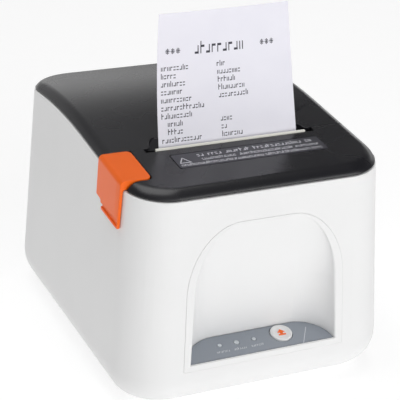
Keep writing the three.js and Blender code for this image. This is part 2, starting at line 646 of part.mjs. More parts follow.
function paperRoll() {
  return ring(ROLL.coreRadius + 0.2, ROLL.radius, -PAPER.width / 2, PAPER.width / 2, ROLL.y, ROLL.z, 48);
}

function rollCore() {
  const { coreRadius, coreWall, y, z } = ROLL;
  return ring(coreRadius - coreWall, coreRadius, -PAPER.width / 2, PAPER.width / 2, y, z, 24);
}

// The paper's middle line: off the roll, round the platen, up through the mouth, then curling in the open.
function paperPath() {
  const wrap = PLATEN.radius + 0.6;
  const off = ROLL.radius + 0.4;
  const dy = ROLL.y - PLATEN.y;
  const dz = ROLL.z - PLATEN.z;
  const distance = Math.hypot(dy, dz);
  const towards = Math.atan2(dz, dy);
  // a line that leaves the underside of the platen and lands on the top of the roll
  const cross = Math.asin((wrap + off) / distance);
  const leave = THREE.MathUtils.radToDeg(towards + cross) - 90;
  const rollAngle = THREE.MathUtils.degToRad(leave + 180);
  const start = [ROLL.y + off * Math.cos(rollAngle), ROLL.z + off * Math.sin(rollAngle)];
  const round = arc(PLATEN.y, PLATEN.z, wrap, wrap, leave, -180, 8);
  return [start, ...round, [PAPER.mouthY, 118], [PAPER.mouthY, PAPER.mouthZ]];
}

function paperStrip() {
  const inside = paperPath().map(([y, z]) => ({ left: [y, z], right: [y, z] }));
  const steps = 16;
  const rise = PAPER.endZ - PAPER.mouthZ;
  const outside = Array.from({ length: steps }, (_, i) => {
    const up = (rise * (i + 1)) / steps;
    // the left edge stands up and rolls gently forward, the right edge leans back, so it ends lower
    const curl = 1 - (1 - up / 51.4) ** 2;
    const leaned = 0.948 * up;
    return {
      left: [PAPER.mouthY + 5 * curl, PAPER.mouthZ + up],
      right: [PAPER.mouthY + 0.295 * leaned - 0.0003 * leaned * leaned, PAPER.mouthZ + leaned],
    };
  });
  const path = [...inside, ...outside];
  const columns = 10;
  const rings = path.map((level, i) => {
    const before = path[Math.max(i - 1, 0)];
    const after = path[Math.min(i + 1, path.length - 1)];
    const edge = (key, side) => {
      const run = new THREE.Vector2(after[key][0] - before[key][0], after[key][1] - before[key][1]).normalize();
      const shift = (side * PAPER.thickness) / 2;
      return new THREE.Vector3((key === 'left' ? -1 : 1) * (PAPER.width / 2), level[key][0] + run.y * shift,
        level[key][1] - run.x * shift);
    };
    const across = (from, to) => {
      return Array.from({ length: columns + 1 }, (_, k) => from.clone().lerp(to, k / columns).toArray());
    };
    return [...across(edge('right', 1), edge('left', 1)), ...across(edge('left', -1), edge('right', -1))];
  });
  return loft(rings);
}

function rollBucket() {
  const { y, z, radius, wall, halfWidth, frontRim, rearRim } = BUCKET;
  const trough = (r) => [[y - r, frontRim], ...arc(y, z, r, r, 180, 360, 18), [y + r, rearRim]];
  let bucket = alongX(trough(radius + wall), -halfWidth, halfWidth);
  for (const [x, legY] of [[-32, -2], [32, -2], [-32, 54], [32, 54]]) {
    bucket = bucket.add(box(x - 1.5, x + 1.5, legY - 1.5, legY + 1.5, BASE.thickness + 0.4, 36));
  }
  const inside = trough(radius).map(([u, v], i, all) => [u, i === 0 || i === all.length - 1 ? v + 20 : v]);
  return bucket.subtract(alongX(inside, -halfWidth + wall, halfWidth - wall));
}

// ---------------------------------------------------------------- electronics

function mainBoard() {
  const { y, thickness, halfWidth, bottom, top } = BOARD;
  const board = box(-halfWidth, halfWidth, y, y + thickness, bottom, top);
  const chip = box(-10, 8, y + thickness - 0.1, y + thickness + 1.6, 60, 76);
  const capacitor = alongY(circle(30, 66, 5, 16), y + thickness - 0.1, y + thickness + 9);
  return board.add(chip).add(capacitor);
}

function socket({ x, width, height, holeWidth, holeHeight }) {
  const mid = SOCKET_FLOOR + height / 2;
  const front = BOARD.y + BOARD.thickness + GAP;
  const block = box(x - width / 2, x + width / 2, front, 92.2, SOCKET_FLOOR, SOCKET_FLOOR + height);
  const hole = box(x - holeWidth / 2, x + holeWidth / 2, 82.6, 95, mid - holeHeight / 2, mid + holeHeight / 2);
  return block.subtract(hole);
}

function socketPlate() {
  const { halfWidth, bottom, top, y, thickness } = REAR_PANEL;
  let plate = box(-halfWidth - 3, halfWidth + 3, y, y + thickness, bottom - 2, top + 2);
  for (const { x, width, height } of SOCKETS) {
    const half = width / 2 + GAP;
    plate = plate.subtract(box(x - half, x + half, 80, 95, SOCKET_FLOOR - GAP, SOCKET_FLOOR + height + GAP));
  }
  return plate.subtract(box(SWITCH.x - 6.7, SWITCH.x + 6.7, 80, 95, SWITCH.z - 10.2, SWITCH.z + 10.2));
}

function switchFrame() {
  const { x, z } = SWITCH;
  const back = REAR_PANEL.y + REAR_PANEL.thickness + GAP;
  const tube = box(x - 6.4, x + 6.4, 79, back + 0.5, z - 9.9, z + 9.9);
  const lip = box(x - 7.4, x + 7.4, back, back + 1.3, z - 11, z + 11);
  return tube.add(lip).subtract(box(x - 5.6, x + 5.6, 80.2, 95, z - 8.9, z + 8.9));
}

// The rocker is drawn level and then tipped to its rest position, one end pressed in.
function powerRocker() {
  const { x, y, z, halfWidth, tilt } = SWITCH;
  const level = [[-4, -6], [6, -7.5], [5.6, -4], [5, 0], [5.6, 4], [6, 7.5], [-4, 6]];
  const tipped = level.map(([u, v]) => {
    return [y + u * Math.cos(tilt) + v * Math.sin(tilt), z + v * Math.cos(tilt) - u * Math.sin(tilt)];
  });
  return alongX(tipped, x - halfWidth, x + halfWidth);
}

// A flat cable from the print head, down, under the roll bucket and up to the main board.
function headRibbon() {
  const path = [[-43.4, 97.6], [-49, 91], [-49, 13], [-42, 7], [60, 7], [72, 15], [75.2, 25]];
  const thickness = 0.5;
  const back = path.map(([y, z], i) => {
    const [y0, z0] = path[Math.max(i - 1, 0)];
    const [y1, z1] = path[Math.min(i + 1, path.length - 1)];
    const run = new THREE.Vector2(y1 - y0, z1 - z0).normalize();
    return [y - run.y * thickness, z + run.x * thickness];
  });
  return alongX([...path, ...back.reverse()], -14, 14);
}

// ---------------------------------------------------------------- assembly

const printer = new THREE.Group();

function place(name, shape, finish) {
  const { vertProperties, triVerts } = shape.getMesh();
  const geometry = new THREE.BufferGeometry();
  geometry.setAttribute('position', new THREE.BufferAttribute(vertProperties, 3));
  geometry.setIndex(new THREE.BufferAttribute(triVerts, 1));
  geometry.computeVertexNormals();
  const mesh = new THREE.Mesh(geometry, new THREE.MeshStandardMaterial(FINISHES[finish]));
  mesh.name = name;
  printer.add(mesh);
}

const boreRadius = PLATEN.shaftRadius + 0.15;
const { platen, idler } = TRAIN;

place('body_shell', bodyShell(), 'whitePlastic');
place('base_plate', basePlate(), 'greyPlastic');
corners(FOOT.x, FOOT.y).forEach(([x, y], i) => place(`rubber_foot_${i + 1}`, foot(x, y), 'rubber'));
corners(SCREW.x, SCREW.y).forEach(([x, y], i) => place(`base_screw_${i + 1}`, baseScrew(x, y), 'steel'));

place('niche_insert', nicheInsert(), 'whitePlastic');
place('control_panel', controlPanel(), 'greyPlastic');
place('feed_button', feedButton(), 'whitePlastic');
place('button_inlay', buttonInlay(), 'orangePlastic');
LIGHTS.forEach((light) => place(light.name, statusLight(light), 'lightPipe'));
place('control_board', controlBoard(), 'board');

place('front_bezel', frontBezel(), 'blackPlastic');
place('tear_bar', tearBar(), 'gearNylon');
place('label_plate', labelPlate(), 'darkLabel');
place('release_lever', releaseLever(), 'orangePlastic');
place('lever_pin', rodX(LEVER.pivotY, LEVER.pivotZ, LEVER.pinRadius, -66.5, -44.5, 12), 'steel');
place('lever_spring', leverSpring(), 'steel');

place('lid', lid(), 'blackPlastic');
place('lid_liner', lidLiner(), 'blackPlastic');
place('hinge_pin_left', hingePin(-1), 'steel');
place('hinge_pin_right', hingePin(1), 'steel');
place('platen_bracket', platenBracket(), 'steel');
place('platen_shaft', platenShaft(), 'steel');
const { halfWidth: platenHalf, radius: platenRadius } = PLATEN;
place('platen_rubber', ring(boreRadius, platenRadius, -platenHalf, platenHalf, platen.y, platen.z, 32), 'rubber');
place('platen_gear', spurGear(GEAR.platenTeeth, platen.y, platen.z, platen.phase, boreRadius), 'gearNylon');
place('shaft_bush_left', shaftBush(-1), 'brass');
place('shaft_bush_right', shaftBush(1), 'brass');

place('mech_frame', mechFrame(), 'steel');
place('print_head', printHead(), 'steel');
place('head_spring_left', headSpring(-25), 'steel');
place('head_spring_right', headSpring(25), 'steel');
place('idler_gear', spurGear(GEAR.idlerTeeth, idler.y, idler.z, idler.phase, 2.15), 'gearNylon');
place('idler_pin', idlerPin(), 'steel');
place('feed_motor', feedMotor(), 'steel');
place('motor_pinion', motorPinion(), 'brass');

place('paper_strip', paperStrip(), 'paper');
place('paper_roll', paperRoll(), 'paper');
place('roll_core', rollCore(), 'card');
place('roll_bucket', rollBucket(), 'blackPlastic');

place('main_board', mainBoard(), 'board');
SOCKETS.forEach((spec) => place(spec.name, socket(spec), 'blackPlastic'));
place('socket_plate', socketPlate(), 'steel');
place('switch_frame', switchFrame(), 'blackPlastic');
place('power_rocker', powerRocker(), 'blackPlastic');
place('head_ribbon', headRibbon(), 'gearNylon');

printer.position.z = FOOT.height;

export default printer;
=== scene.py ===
"""Looks for a desktop thermal receipt printer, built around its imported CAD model.

Shapes are worked out in millimetres in the printer's own axes: X to its right side, Y to its back and Z up
from the underside of the casing. build() turns them into metres and lifts them by the height of the feet.
"""

import json
import math
import random
from contextlib import contextmanager

import bmesh
import bpy
from mathutils import Matrix, Vector

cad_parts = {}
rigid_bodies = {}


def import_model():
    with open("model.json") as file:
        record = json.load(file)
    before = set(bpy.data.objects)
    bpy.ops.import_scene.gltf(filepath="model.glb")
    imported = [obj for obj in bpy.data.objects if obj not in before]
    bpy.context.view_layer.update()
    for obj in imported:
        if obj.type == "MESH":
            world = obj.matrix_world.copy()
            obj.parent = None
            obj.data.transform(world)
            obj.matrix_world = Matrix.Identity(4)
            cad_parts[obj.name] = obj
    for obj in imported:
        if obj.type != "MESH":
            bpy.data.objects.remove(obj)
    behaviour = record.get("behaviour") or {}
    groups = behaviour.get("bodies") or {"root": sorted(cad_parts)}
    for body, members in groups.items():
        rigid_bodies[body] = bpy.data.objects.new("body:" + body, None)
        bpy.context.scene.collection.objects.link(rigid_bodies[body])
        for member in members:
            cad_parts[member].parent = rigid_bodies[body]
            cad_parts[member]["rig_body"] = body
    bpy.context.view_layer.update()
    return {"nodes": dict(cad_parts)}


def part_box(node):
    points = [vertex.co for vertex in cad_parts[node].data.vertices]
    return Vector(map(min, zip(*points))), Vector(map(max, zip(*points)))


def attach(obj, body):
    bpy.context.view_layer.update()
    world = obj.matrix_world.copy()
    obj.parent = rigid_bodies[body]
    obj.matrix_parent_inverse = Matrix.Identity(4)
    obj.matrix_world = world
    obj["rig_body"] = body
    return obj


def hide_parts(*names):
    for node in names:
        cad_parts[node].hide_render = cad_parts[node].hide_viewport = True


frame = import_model()

# ---------------- driving dimensions, in millimetres

MM = 0.001  # metres in a millimetre
WELD = 0.01  # points nearer than this are merged
LIFT = 1.5  # height of the feet
FAR = 150  # beyond the casing on every side

HALF_WIDTH, HALF_DEPTH, CORNER, WALL = 77.78, 97.27, 25.5, 2.5
SIDE_LEAN, FRONT_LEAN, REAR_LEAN = 0.0554, 0.0632, 0.0706
SIDE_ROUND, END_ROUND, TOP_ROUND = 18.9, 22.8, 6.7
FRONT_HEIGHT, RISE, CREST, FALL = 121.5, 16.5, 0.45, 12.9
SKIRT, SEAM, GAP = 4.5, 0.6, 0.3
LIP = 0.45

BASE_HALF_WIDTH, BASE_HALF_DEPTH, BASE_CORNER, LEDGE = 54, 70, 6, 7
LEDGE_BOTTOM, LEDGE_TOP = 2.3, 5.0
REAR_OPENING = (-47, 47, 26, 50)

ARCH_BOTTOM, ARCH_FOOT, ARCH_SHOULDER, ARCH_SHOULDER_HALF = 23.5, 45.6, 62, 44.2
ARCH_FLAT_HALF, ARCH_CROWN = 14, 101.2
NICHE_FOOT, NICHE_SHOULDER_HALF, NICHE_CROWN, NICHE_DEPTH = 41.9, 39.7, 100.5, 18.8
NICHE_CORNER, NICHE_WALL, NICHE_SEAM, NICHE_FLARE = 18, 2, 0.26, 1.2
PANEL_Y, PANEL_Z, PANEL_SLOPE, PANEL_THICKNESS, PANEL_LIP = -95.3, 26.3, math.radians(13), 2, 0.7
BUTTON_X, BUTTON_S, BUTTON_RADIUS, MARK_RADIUS = 14.9, 11.0, 6, 2.7
LIGHTS = {"status_light_1": (-21.1, 1.2), "status_light_2": (-11.4, 1.5), "status_light_3": (-1.3, 1.2)}
LIGHT_S = 10.7

PAPER_WIDTH, PAPER_Y, PAPER_Z, PAPER_END = 79.5, -41.1, 124.6, 195.2
ROLL_Y, ROLL_Z, ROLL_RADIUS, CORE_RADIUS = 27, 58.4, 34, 8
MOUTH_LID_Y, MOUTH_BEZEL_Y, MOUTH_SIDE_Y, MOUTH_HALF = -40.6, -45.4, -41.2, 48.6
MOUTH_REAR_HALF, MOUTH_REAR_Y = 44, -30
TEAR_HALF, TEAR_FOOT, TEAR_TOP, TEAR_THICKNESS, TEAR_PITCH, TEAR_TOOTH = 43, 119.8, 126.5, 1, 0.5, 0.25
LABEL_LEFT, LABEL_RIGHT, LABEL_FRONT, LABEL_REAR, LABEL_THICKNESS = -38, 46, -66, -51.8, 0.4
PLATEN_Y, PLATEN_Z, PLATEN_RADIUS = -34.5, 112, 6

LEVER_FRONT, LEVER_REAR, LEVER_INNER, LEVER_PROUD, LEVER_Y, LEVER_Z = -71.7, -41.5, -56, 2.2, -69.5, 119
LEVER_CORNER, LEVER_BORE = 3, 1.15
HINGE_Y, HINGE_Z, EYE_RADIUS, PIN_RADIUS, ARM_INNER, ARM_OUTER = 83.2, 96, 4.2, 2, 46, 50.5

CORNER_STEPS, SIDE_STEPS, ACROSS, TOP_STEPS, SHEET_STEPS = 16, 20, 16, 10, 64

# ---------------- mesh tools


def new_object(name, data):
    made = bpy.data.objects.new(name, data)
    bpy.context.scene.collection.objects.link(made)
    return made


@contextmanager
def edited(mesh):
    """A mesh opened for editing, then written back."""
    opened = bmesh.new()
    opened.from_mesh(mesh)
    yield opened
    opened.to_mesh(mesh)
    opened.free()


def build(points, faces, at=None):
    """A loose mesh object from points in millimetres, with its faces turned outwards."""
    if at:
        points = [at(*point) for point in points]
    mesh = bpy.data.meshes.new("shape")
    mesh.from_pydata([(x * MM, y * MM, (z + LIFT) * MM) for x, y, z in points], [], faces)
    with edited(mesh) as shell:
        bmesh.ops.recalc_face_normals(shell, faces=shell.faces)
        if shell.calc_volume(signed=True) < 0:
            bmesh.ops.reverse_faces(shell, faces=shell.faces)
    return new_object("shape", mesh)


def apply_modifiers(shape):
    depsgraph = bpy.context.evaluated_depsgraph_get()
    depsgraph.update()
    mesh = bpy.data.meshes.new_from_object(shape.evaluated_get(depsgraph))
    shape.modifiers.clear()
    shape.data = mesh


def combine(shape, tool, operation):
    modifier = shape.modifiers.new("combine", "BOOLEAN")
    modifier.object = tool
    modifier.operation = operation
    modifier.solver = "MANIFOLD"
    apply_modifiers(shape)
    bpy.data.objects.remove(tool)
    return shape


def cut(shape, *tools):
    for tool in tools:
        combine(shape, tool, "DIFFERENCE")
    return shape


def join(shape, *tools):
    for tool in tools:
        combine(shape, tool, "UNION")
    return shape


def common(shape, *tools):
    for tool in tools:
        combine(shape, tool, "INTERSECT")
    return shape


def gather(shapes):
    """One object that holds several shapes side by side."""
    mesh = bpy.data.meshes.new("shape")
    with edited(mesh) as together:
        for shape in shapes:
            together.from_mesh(shape.data)
            bpy.data.objects.remove(shape)
    return new_object("shape", mesh)


def clean(shape, weld):
    """Merges the faces that lie in one plane, after welding the tiny edges that would spoil a rounding."""
    with edited(shape.data) as mesh:
        if weld:
            bmesh.ops.remove_doubles(mesh, verts=mesh.verts, dist=WELD * MM)
            bmesh.ops.dissolve_degenerate(mesh, edges=mesh.edges, dist=WELD * MM)
        bmesh.ops.dissolve_limit(mesh, angle_limit=math.radians(0.05), verts=mesh.verts, edges=mesh.edges)


def round_edges(shape, width, angle):
    """Rounds the edges sharper than an angle."""
    with edited(shape.data) as mesh:
        sharp = [edge for edge in mesh.edges if edge.calc_face_angle(0) > math.radians(angle)]
        bmesh.ops.bevel(mesh, geom=sharp, offset=width * MM, segments=3, profile=0.5, affect="EDGES",
                        miter_outer="ARC", clamp_overlap=False)


def shade(shape):
    mesh = shape.data
    mesh.polygons.foreach_set("use_smooth", [True] * len(mesh.polygons))
    mesh.set_sharp_from_angle(angle=math.radians(30))


MATERIALS = {}


def piece(shape, name, body, material, stands_for=(), edge=0.0, angle=35):
    """Names a shape, gives it its edges and finish, and rides it on a CAD body."""
    shape.name = name
    shape.data.name = name
    clean(shape, weld=edge > 0)
    if edge:
        round_edges(shape, edge, angle)
    shade(shape)
    shape.modifiers.new("normals", "WEIGHTED_NORMAL").keep_sharp = True
    shape.data.materials.clear()
    shape.data.materials.append(MATERIALS[material])
    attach(shape, body)
    if stands_for:
        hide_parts(*stands_for)


def arc(u, v, radius_u, radius_v, start, end, steps):
    angles = [math.radians(start + (end - start) * i / steps) for i in range(steps + 1)]
    return [(u + radius_u * math.cos(a), v + radius_v * math.sin(a)) for a in angles]


def circle(u, v, radius, steps=64):
    return arc(u, v, radius, radius, 0, 360, steps)[:-1]


def rounded_rectangle(u, v, half_u, half_v, radius):
    in_u, in_v = half_u - radius, half_v - radius
    outline = []
    for quarter, (du, dv) in enumerate([(in_u, in_v), (-in_u, in_v), (-in_u, -in_v), (in_u, -in_v)]):
        outline += arc(u + du, v + dv, radius, radius, 90 * quarter, 90 * quarter + 90, 8)
    return outline


def prism(axis, outline, start, end, at=None):
    """An outline of [y, z] points carried along X, of [x, z] points along Y, or of [x, y] points along Z."""
    place = {
        "x": lambda u, v, w: (w, u, v),
        "y": lambda u, v, w: (u, w, v),
        "z": lambda u, v, w: (u, v, w),
    }[axis]
    count = len(outline)
    points = [place(u, v, w) for w in (start, end) for u, v in outline]
    sides = [(i, (i + 1) % count, count + (i + 1) % count, count + i) for i in range(count)]
    ends = [tuple(range(count)), tuple(range(2 * count - 1, count - 1, -1))]
    return build(points, sides + ends, at)


def box(x0, x1, y0, y1, z0, z1, at=None):
    return prism("z", [(x0, y0), (x1, y0), (x1, y1), (x0, y1)], z0, z1, at)


def loft(rings, caps="plain", at=None):
    """A skin over rings of equal length: a loop, or capped by plain faces or rows across a case ring."""
    count = len(rings[0])
    points = [point for ring in rings for point in ring]
    faces = []
    levels = len(rings)
    for level in range(levels if caps == "loop" else levels - 1):
        here, above = level * count, (level + 1) % levels * count
        for i in range(count):
            following = (i + 1) % count
            faces.append((here + i, here + following, above + following, above + i))
    if caps == "plain":
        faces.append(tuple(range(count)))
        faces.append(tuple(range(len(points) - 1, len(points) - count - 1, -1)))
    if caps == "rows":
        for first in (0, (levels - 1) * count):
            add_cap(points, faces, first)
    return build(points, faces, at)


def add_cap(points, faces, first):
    """Closes a case ring with rows of faces that run across it from right to left."""
    last_row = 2 * CORNER_STEPS + SIDE_STEPS
    front = 2 * (last_row + 1) + ACROSS - 1
    rows = []
    for i in range(last_row + 1):
        partner = 2 * last_row + ACROSS - i
        if i == 0:
            middle = [front + ACROSS - 1 - j for j in range(1, ACROSS)]
        elif i == last_row:
            middle = [last_row + j for j in range(1, ACROSS)]
        else:
            middle = []
            right, left = Vector(points[first + i]), Vector(points[first + partner])
            for j in range(1, ACROSS):
                middle.append(len(points) - first)
                points.append(tuple(right.lerp(left, j / ACROSS)))
        rows.append([first + k for k in (i, *middle, partner)])
    for row, following in zip(rows, rows[1:]):
        for j in range(ACROSS):
            faces.append((row[j], following[j], following[j + 1], row[j + 1]))


def turned(profile, steps, at):
    """A profile of [radius, height] points turned about Z, with flat ends."""
    rings = [[(x, y, height) for x, y in circle(0, 0, radius, steps)] for radius, height in profile]
    return loft(rings, at=at)


def rod(y, z, radius, x0, x1):
    return prism("x", circle(y, z, radius, 48), x0, x1)


# ---------------- the casing's outer form


def top_height(y):
    """Height of the top at a depth y measured before the walls lean in."""
    t = (y + HALF_DEPTH) / (2 * HALF_DEPTH)
    past = max(t - CREST, 0) / (1 - CREST)
    return FRONT_HEIGHT + RISE * t - FALL * past * past


def lean_in(x, y, z):
    lean = FRONT_LEAN if y < 0 else REAR_LEAN
    return (x * (1 - SIDE_LEAN * z / HALF_WIDTH), y * (1 - lean * z / HALF_DEPTH), z)


def front_wall(z):
    return -HALF_DEPTH + FRONT_LEAN * z


def case_outline(half_width, half_depth, radius):
    """Points up the right side from front to back, across the rear, down the left and across the front."""
    x, y = half_width - radius, half_depth - radius
    near = arc(x, -y, radius, radius, -90, 0, CORNER_STEPS)
    side = [(half_width, -y + 2 * y * (i + 1) / SIDE_STEPS) for i in range(SIDE_STEPS - 1)]
    right = [*near, *side, *arc(x, y, radius, radius, 0, 90, CORNER_STEPS)]
    left = [(-u, v) for u, v in reversed(right)]
    rear = [(x * (1 - 2 * (j + 1) / ACROSS), half_depth) for j in range(ACROSS - 1)]
    front = [(-u, -v) for u, v in rear]
    return right + rear + left + front


def case_ring(half_width, half_depth, radius, height):
    return [lean_in(u, v, height(v)) for u, v in case_outline(half_width, half_depth, radius)]


def level_ring(half_width, half_depth, radius, z):
    return [(u, v, z) for u, v in case_outline(half_width, half_depth, radius)]


def bottom_ring(inset, share):
    """A ring on the rounding between the underside (share 0) and the wall (share 1)."""
    angle = math.pi / 2 * share
    drawn = 1 - math.sin(angle)
    side, end = SIDE_ROUND - inset, END_ROUND - inset
    height = inset + (side + end) / 2 * (1 - math.cos(angle))
    radius = CORNER - inset - side * drawn / 2
    half_width, half_depth = HALF_WIDTH - inset - side * drawn, HALF_DEPTH - inset - end * drawn
    return case_ring(half_width, half_depth, radius, lambda y: height)


def upper_ring(inset, depth, top_inset=None, top_round=None):
    """A ring on the wall or on its rounding into the top, at a depth below the outer top surface."""
    top_inset = inset if top_inset is None else top_inset
    top_round = max(TOP_ROUND - inset, 1) if top_round is None else top_round
    sine = min(max(1 - (depth - top_inset) / top_round, 0), 1)
    drawn = top_round * (1 - math.sqrt(1 - sine * sine))
    radius = CORNER - inset - drawn / 2
    half_width, half_depth = HALF_WIDTH - inset - drawn, HALF_DEPTH - inset - drawn
    return case_ring(half_width, half_depth, radius, lambda y: top_height(y) - depth)


def wall_rings(inset, depth, count):
    """Rings on the straight part of the wall, from above the bottom rounding to a depth below the top."""
    start = (SIDE_ROUND + END_ROUND) / 2
    made = []
    for i in range(1, count + 1):
        share = i / (count + 1)
        rise = lambda y, s=share: start + (top_height(y) - depth - start) * s
        made.append(case_ring(HALF_WIDTH - inset, HALF_DEPTH - inset, CORNER - inset, rise))
    return made


def top_depths(top_inset, top_round, lowest):
    """Depths down the top rounding, from the wall end up to the flat top, evenly spaced by angle."""
    sine = min(max(1 - (lowest - top_inset) / top_round, 0), 1)
    start = math.asin(sine)
    angles = [start + (math.pi / 2 - start) * i / TOP_STEPS for i in range(TOP_STEPS + 1)]
    return [top_inset + top_round * (1 - math.sin(a)) for a in angles]


def hull(inset, top_inset=None, top_round=None):
    """The casing's whole form as one solid, drawn in all round or grown where inset is negative."""
    top_inset = inset if top_inset is None else top_inset
    top_round = max(TOP_ROUND - inset, 1) if top_round is None else top_round
    rings = [bottom_ring(inset, i / 12) for i in range(13)]
    rings += wall_rings(inset, top_inset + top_round, 6)
    depths = top_depths(top_inset, top_round, top_inset + top_round)
    rings += [upper_ring(inset, depth, top_inset, top_round) for depth in depths]
    return loft(rings, "rows")


def under_top(depth):
    """Everything below a sheet that follows the top at a given depth under it."""
    reach = HALF_DEPTH + 14
    sheet = []
    for i in range(SHEET_STEPS + 1):
        y = -reach + 2 * reach * i / SHEET_STEPS
        sheet.append(lean_in(0, y, top_height(y) - depth)[1:])
    floor = [(-FAR, -10), (FAR, -10), (FAR, sheet[-1][1])]
    return prism("x", [*floor, *reversed(sheet), (-FAR, sheet[0][1])], -FAR, FAR)


def lip_profile(start, end, depth):
    """(inset, depth) pairs over a rounded edge between two walls, from inset start to inset end."""
    turn = 1 if end > start else -1
    first = [(start + turn * LIP * (1 - u), depth + LIP * (1 - v)) for u, v in arc(0, 0, 1, 1, 0, 90, 4)]
    second = [(start + end - inset, d) for inset, d in reversed(first)]
    return first + second


# ---------------- casing


def shell_piece():
    """One closed skin: up the outside, over the rim, down the inside and round the base opening's ledge."""
    rim = SKIRT + SEAM
    base = (BASE_HALF_WIDTH, BASE_HALF_DEPTH, BASE_CORNER)
    ledge = (BASE_HALF_WIDTH - LEDGE, BASE_HALF_DEPTH - LEDGE, BASE_CORNER)
    seat = (BASE_HALF_WIDTH + 2, BASE_HALF_DEPTH + 2, BASE_CORNER)
    inner_round = TOP_ROUND - WALL
    rings = [level_ring(*base, 0)]
    rings += [bottom_ring(0, i / 14) for i in range(15)]
    rings += wall_rings(0, TOP_ROUND, 7)
    rings += [upper_ring(0, depth) for depth in (TOP_ROUND, 6.1)]
    rings += [upper_ring(inset, depth) for inset, depth in lip_profile(0, WALL, rim)]
    rings += [upper_ring(WALL, WALL + inner_round)]
    rings += reversed(wall_rings(WALL, WALL + inner_round, 5))
    rings += [bottom_ring(WALL, i / 8) for i in range(8, -1, -1)]
    rings += [level_ring(*seat, WALL), level_ring(*seat, LEDGE_TOP), level_ring(*ledge, LEDGE_TOP)]
    rings += [level_ring(*ledge, LEDGE_BOTTOM), level_ring(*base, LEDGE_BOTTOM)]
    shell = loft(rings, "loop")
    x0, x1, z0, z1 = REAR_OPENING
    cut(shell, prism("y", arch_outline(GAP), -FAR, -HALF_DEPTH + 30), box(x0, x1, 80, FAR, z0, z1))
    for side in (-1, 1):
        join(shell, hinge_boss(side))
    piece(shell, "casing", "base", "white_plastic", ["body_shell"], edge=0.35, angle=50)


def pin_hole(near, far):
    return rod(HINGE_Y, HINGE_Z, PIN_RADIUS + 0.15, near - 1, far + 1)


def hinge_boss(side):
    near, far = sorted((side * (ARM_OUTER + 0.8), side * (ARM_OUTER + 4.8)))
    boss = prism("x", [(78.5, 90), (90, 86), (90, 106), (78.5, 101)], near, far)
    return cut(common(boss, hull(1)), pin_hole(near, far))


def arch_outline(grow):
    radius_x = ARCH_SHOULDER_HALF - ARCH_FLAT_HALF + grow
    radius_z = ARCH_CROWN - ARCH_SHOULDER + grow
    right = arc(ARCH_FLAT_HALF, ARCH_SHOULDER, radius_x, radius_z, 0, 90, 36)
    left = [(-x, z) for x, z in reversed(right)]
    foot = ARCH_FOOT + grow
    return [(-foot, ARCH_BOTTOM - grow), (foot, ARCH_BOTTOM - grow), *right, *left]


# ---------------- niche, panel, button and lights


def niche_half_width(z):
    if z < ARCH_SHOULDER:
        t = (z - ARCH_BOTTOM) / (ARCH_SHOULDER - ARCH_BOTTOM)
        return NICHE_FOOT + (NICHE_SHOULDER_HALF - NICHE_FOOT) * t
    t = min((z - ARCH_SHOULDER) / (NICHE_CROWN - ARCH_SHOULDER), 1)
    return ARCH_FLAT_HALF + (NICHE_SHOULDER_HALF - ARCH_FLAT_HALF) * math.sqrt(1 - t * t)


def niche_hollow(grow, flare=0.0):
    """The niche's hollow: each level is a D in plan, shallower towards the crown, with a rounded mouth."""
    straight = [10, ARCH_BOTTOM, 33, 43, 52.5, ARCH_SHOULDER]
    rise = NICHE_CROWN - ARCH_SHOULDER
    curved = [ARCH_SHOULDER + rise * math.sin(math.radians(90 * i / 22)) for i in range(1, 22)]
    rings = []
    for z in [*straight, *curved, NICHE_CROWN + grow / 2]:
        half_width = niche_half_width(z) + grow
        depth = NICHE_DEPTH * max(NICHE_CROWN - z, 0) / (NICHE_CROWN - PANEL_Z) + grow
        depth = max(depth, 0.05)
        corner = min(NICHE_CORNER, half_width - 1)
        radius = min(flare, 0.4 * depth)
        start = math.degrees(math.asin(radius / depth))
        curve = arc(half_width - corner, front_wall(z), corner, depth, start, 90, 20)
        mouth = [(curve[0][0] + radius, -FAR)]
        if flare:
            mouth += arc(curve[0][0] + radius, front_wall(z) + radius, radius, radius, 270, 180, 6)[:-1]
        right = [*mouth, *curve]
        left = [(-x, y) for x, y in reversed(right)]
        rings.append([(x, y, z) for x, y in right + left])
    return loft(rings)


def above_panel(offset):
    """Everything above the plane of the panel, moved by offset along the plane's normal."""
    height = lambda y: PANEL_Z + math.tan(PANEL_SLOPE) * (y - PANEL_Y) + offset / math.cos(PANEL_SLOPE)
    far = PANEL_Y + 60
    return prism("x", [(-FAR, height(-FAR)), (far, height(far)), (far, FAR), (-FAR, FAR)], -FAR, FAR)


def on_panel(x, s, h):
    """From panel axes (across, up the slope, over the panel) to the printer's axes."""
    cosine, sine = math.cos(PANEL_SLOPE), math.sin(PANEL_SLOPE)
    return (x, PANEL_Y + s * cosine - h * sine, PANEL_Z + s * sine + h * cosine)


def niche_piece():
    front = [(front_wall(z), z) for z in (10, 110)]
    slab = prism("x", [front[0], (front[0][0] + WALL, 10), (front[1][0] + WALL, 110), front[1]], -60, 60)
    behind_front = lambda: prism("x", [front[0], (FAR, 10), (FAR, 110), front[1]], -60, 60)
    seat_offset = -PANEL_THICKNESS - GAP
    walls = common(niche_hollow(NICHE_WALL), above_panel(seat_offset - 1.6), behind_front())
    insert = common(join(slab, walls), prism("y", arch_outline(NICHE_SEAM), -FAR, -HALF_DEPTH + 30))
    behind_lip = box(-FAR, FAR, PANEL_Y + PANEL_LIP, FAR, -10, FAR)
    seat = common(niche_hollow(0), above_panel(seat_offset), behind_lip)
    mouth = common(niche_hollow(0, NICHE_FLARE), above_panel(0))
    cut(insert, mouth, seat, box(-26, 24, 3.2, 18.4, -8, 0, on_panel))
    piece(insert, "niche", "base", "white_plastic", ["niche_insert"])


